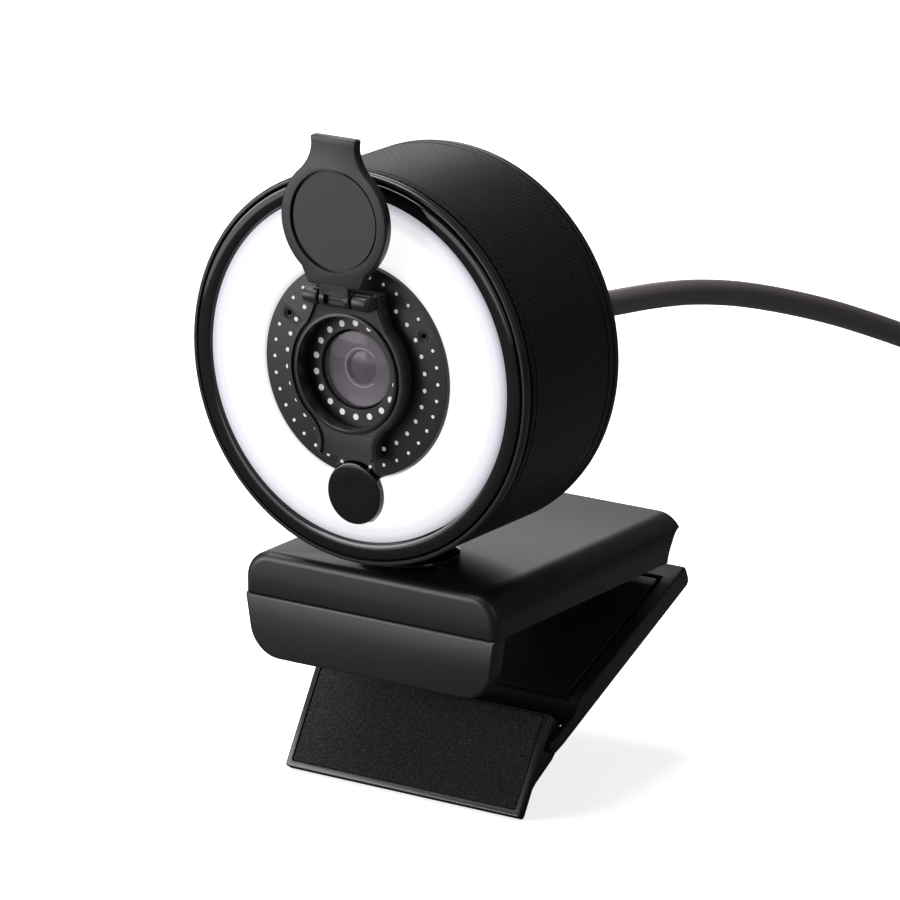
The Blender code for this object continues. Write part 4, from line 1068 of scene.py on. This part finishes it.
def makeLip(mats):
    c = clip
    half, front = plateHalf / mm - 0.1, plateFront / mm
    bottom = lipBottom / mm
    lowHalf = half - c["lipDraw"] + 0.1
    right = arc(lowHalf - c["lipCorner"], bottom + c["lipCorner"], c["lipCorner"], -90, -8, 14)
    right += [(half, -0.5), (half - 0.1, 0.0)]
    lip = cutOut("clip_lip", [right + mirrored(right)], front, front + c["lipDepth"], 0.55)
    inner = half - c["wall"] - 0.3
    start = front + c["wall"] + 0.3
    weld(lip, block("step", (-inner, start, -1.5), (inner, front + c["lipDepth"] - 0.2, 1.8)))
    weld(lip, block("floor", (-inner, start, 0.0), (inner, 24.9, 1.8)))
    insert = middleOf("tripod_insert")
    spot = Vector((0, insert.y, 0))
    weld(lip, bar("boss", 6.0, spot, "Z", 0.5, 4.8, 48))
    carve(lip, bar("pocket", 4.6, spot, "Z", -1, 4.1, 48))
    for i in range(4):
        screwMid = middleOf(f"base_screw_{i + 1}")
        place = Vector((screwMid.x, screwMid.y, 0))
        carve(lip, bar("hole", 1.2, place, "Z", -1, 3, 24))
        carve(lip, bar("well", 2.1, place, "Z", -1, 0.8, 36))
        profile = [(0.9, 5.2), (0.9, 0.55), (1.8, 0.55), (1.8, 0.3), (1.65, 0.15), (1.3, 0.1)]
        screw = lathe(f"floor_screw_{i + 1}", place, "Z", profile, 32)
        crossSlot(screw, place + Vector((0, 0, 0.1)) * mm, "Z", 1.0, 0.4, 0.3)
        done(screw, mats["steel"], "clip", "steel", f"base_screw_{i + 1}")
    done(lip, mats["shell"], "clip", "shell", "clip_base")
    threads = [(4.3, 0.0), (4.3, 3.8), (3.1, 3.8)]
    for i in range(7):  # ridges that stand for the thread
        z = 3.6 - 0.5 * i
        threads += [(3.1, z), (2.85, z - 0.2)]
    threads += [(3.1, 0.2), (3.35, 0.0)]
    sleeve = lathe("camera_thread", spot, "Z", threads, 48, ring=True)
    done(sleeve, mats["brass"], "clip", "brass", "tripod_insert")
    low, high = [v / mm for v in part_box("lip_pad")]
    pad = roundBlock("lip_foam", low, high, "Y", 1.5)
    soften(pad, 0.25)
    done(pad, mats["foam"], "clip", "foam", "lip_pad")


# sizes in mm; places on the arm are (down from its heel, up from its underside)
arm = {
    "slope": 24.7,
    "heel": (34.86, -5.23),
    "half": 23.0,
    "depth": 3.5,
    "wall": 2.2,
    "tip": (42.8, 1.45),
    "lean": 31.0,
    "footHalf": 22.4,
    "footLow": -12.8,
    "footHigh": 4.2,
}


def onArm(points):
    c, s = math.cos(math.radians(arm["slope"])), math.sin(math.radians(arm["slope"]))
    y, z = arm["heel"]
    return [(y - t * c - h * s, z - t * s + h * c) for t, h in points]


def makeArm(mats):
    a = arm
    tipT, tipH = a["tip"]
    side = [(1.0, 0.0), (0.3, 0.3), (0.0, 1.1), (0.0, 2.8), (0.2, 3.3), (0.7, a["depth"])]
    side += [(32.2, a["depth"]), (32.9, 3.42), (33.5, 3.2), (34.2, 2.8), (35.0, 2.45), (35.8, 2.25)]
    side += [(36.8, 2.2), (tipT - 1.2, 2.2)]
    side += arc(tipT, tipH, 1.3, 60, -90, 12) + [(tipT - 2.0, 0.0)]
    beam = cutOut("folding_arm", [onArm(side)], -a["half"], a["half"], 0.25, "side")
    rim, forkHalf = a["half"] - a["wall"], a["half"] - 1.0
    hollow = onArm([(3.4, 1.3), (34.4, 1.3), (34.4, 6.0), (3.4, 6.0)])
    carve(beam, cutOut("hollow", [hollow], -rim, rim, 0.01, "side"))
    fork = onArm([(36.9, -2.0), (48.0, -2.0), (48.0, 7.0), (36.9, 7.0)])
    carve(beam, cutOut("fork", [fork], -forkHalf, forkHalf, 0.01, "side"))
    for x in (-9.3, 4.0):
        carve(beam, bar("slot", clip["knuckle"] + 0.35, armHinge, "X", x, x + 5.3, 48))
    for x0, x1 in ((-14.0, -9.3), (-4.0, 4.0), (9.3, 14.0)):
        weld(beam, bar("eye", clip["knuckle"], armHinge, "X", x0, x1, 48))
    carve(beam, bar("bore", 1.06, armHinge, "X", -20, 20, 24))
    done(beam, mats["shell"], "arm", "shell", "clip_arm")
    sheet = onArm([(3.8, 1.6), (32.1, 1.6), (32.1, 3.05), (3.8, 3.05)])
    panel = cutOut("arm_cover", [sheet], -rim + 1.1, rim - 1.1, 0.2, "side")
    done(panel, mats["shell"], "arm", "shell", "arm_panel")


def setOnFoot(piece):  # from the foot's own upright frame to its place on the hinge
    choose(piece)
    piece.rotation_euler = (-math.radians(arm["lean"]), 0, 0)
    piece.location = footHinge
    settle(piece)


def makeFoot(mats):
    a = arm
    half, low, high = a["footHalf"], a["footLow"], a["footHigh"]
    tray = roundBlock("foot_frame", (-half, -3.2, low), (half, -1.6, high), "Y", 0.5, 4)
    soften(tray, 0.3, 3, 50)
    rim = 1.0
    corners = ((-half + rim, -5, low + rim), (half - rim, -2.3, high + 3))
    carve(tray, roundBlock("recess", *corners, "Y", 0.4, 3))
    # a gusset on each side runs from the hinge to the back of the tray
    gusset = [(-1.8, high - 0.3), (1.4, 4.0), (2.7, 2.4), (2.9, 0.0), (2.4, -1.9)]
    gusset += [(-0.2, -6.4), (-1.8, -10.5)]
    for x in (-21.7, 20.3):
        weld(tray, cutOut("gusset", [gusset], x, x + 1.4, 0.01, "side"))
    carve(tray, bar("bore", 0.66, Vector((0, 0, 0)), "X", -30, 30, 20))
    setOnFoot(tray)
    done(tray, mats["lip"], "foot", "shell", "foot_tray")
    inset = half - rim - 0.15
    corners = ((-inset, -3.1, low + rim + 0.15), (inset, -2.4, high - 0.4))
    pad = roundBlock("foot_foam", *corners, "Y", 0.4, 3)
    soften(pad, 0.2)
    setOnFoot(pad)
    done(pad, mats["foam"], "foot", "foam", "foot_pad")


# these solids keep their shape and get a finish
finishes = {
    "steel": [
        "arm_pin", "foot_pin", "tilt_pin", "tilt_bracket", "swivel_screw", "swivel_washer",
        "button_switch", "microphone_left", "microphone_right",
    ],
    "rubber": ["tilt_washer_left", "tilt_washer_right"],
    "white": ["light_chamber"],
    "board": ["led_board", "camera_board", "main_board"],
    "resin": ["cover_pin", "lens_holder"],
    # the image sensor takes the lens finish with its painted pale-grey reflection
    "lens": ["image_sensor"],
}


def finishSolids(mats):
    for finish, nodes in finishes.items():
        for node in nodes:
            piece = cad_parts[node]
            piece.data.materials.clear()
            piece.data.materials.append(mats[finish])


makeCamera()
mats = makeMaterials()
cord, centreline = makeCord(mats)
print("camera and cord made")
strap = makeTie(mats)
plugPieces = makePlug(mats)
print("plug and strap made")
makeCasing(mats)
makeFace(mats)
makeSpots(mats)
makeLens(mats)
makeButton(mats)
print("head made")
makeCoverBase(mats)
makeFlap(mats)
makeBack(mats)
makeNeck(mats)
print("cover, back and neck made")
makeTopShell(mats)
makeLip(mats)
makeArm(mats)
makeFoot(mats)
print("clip made")
finishSolids(mats)
makeFloor()
makeLights()
print("finishes, floor and lights made")
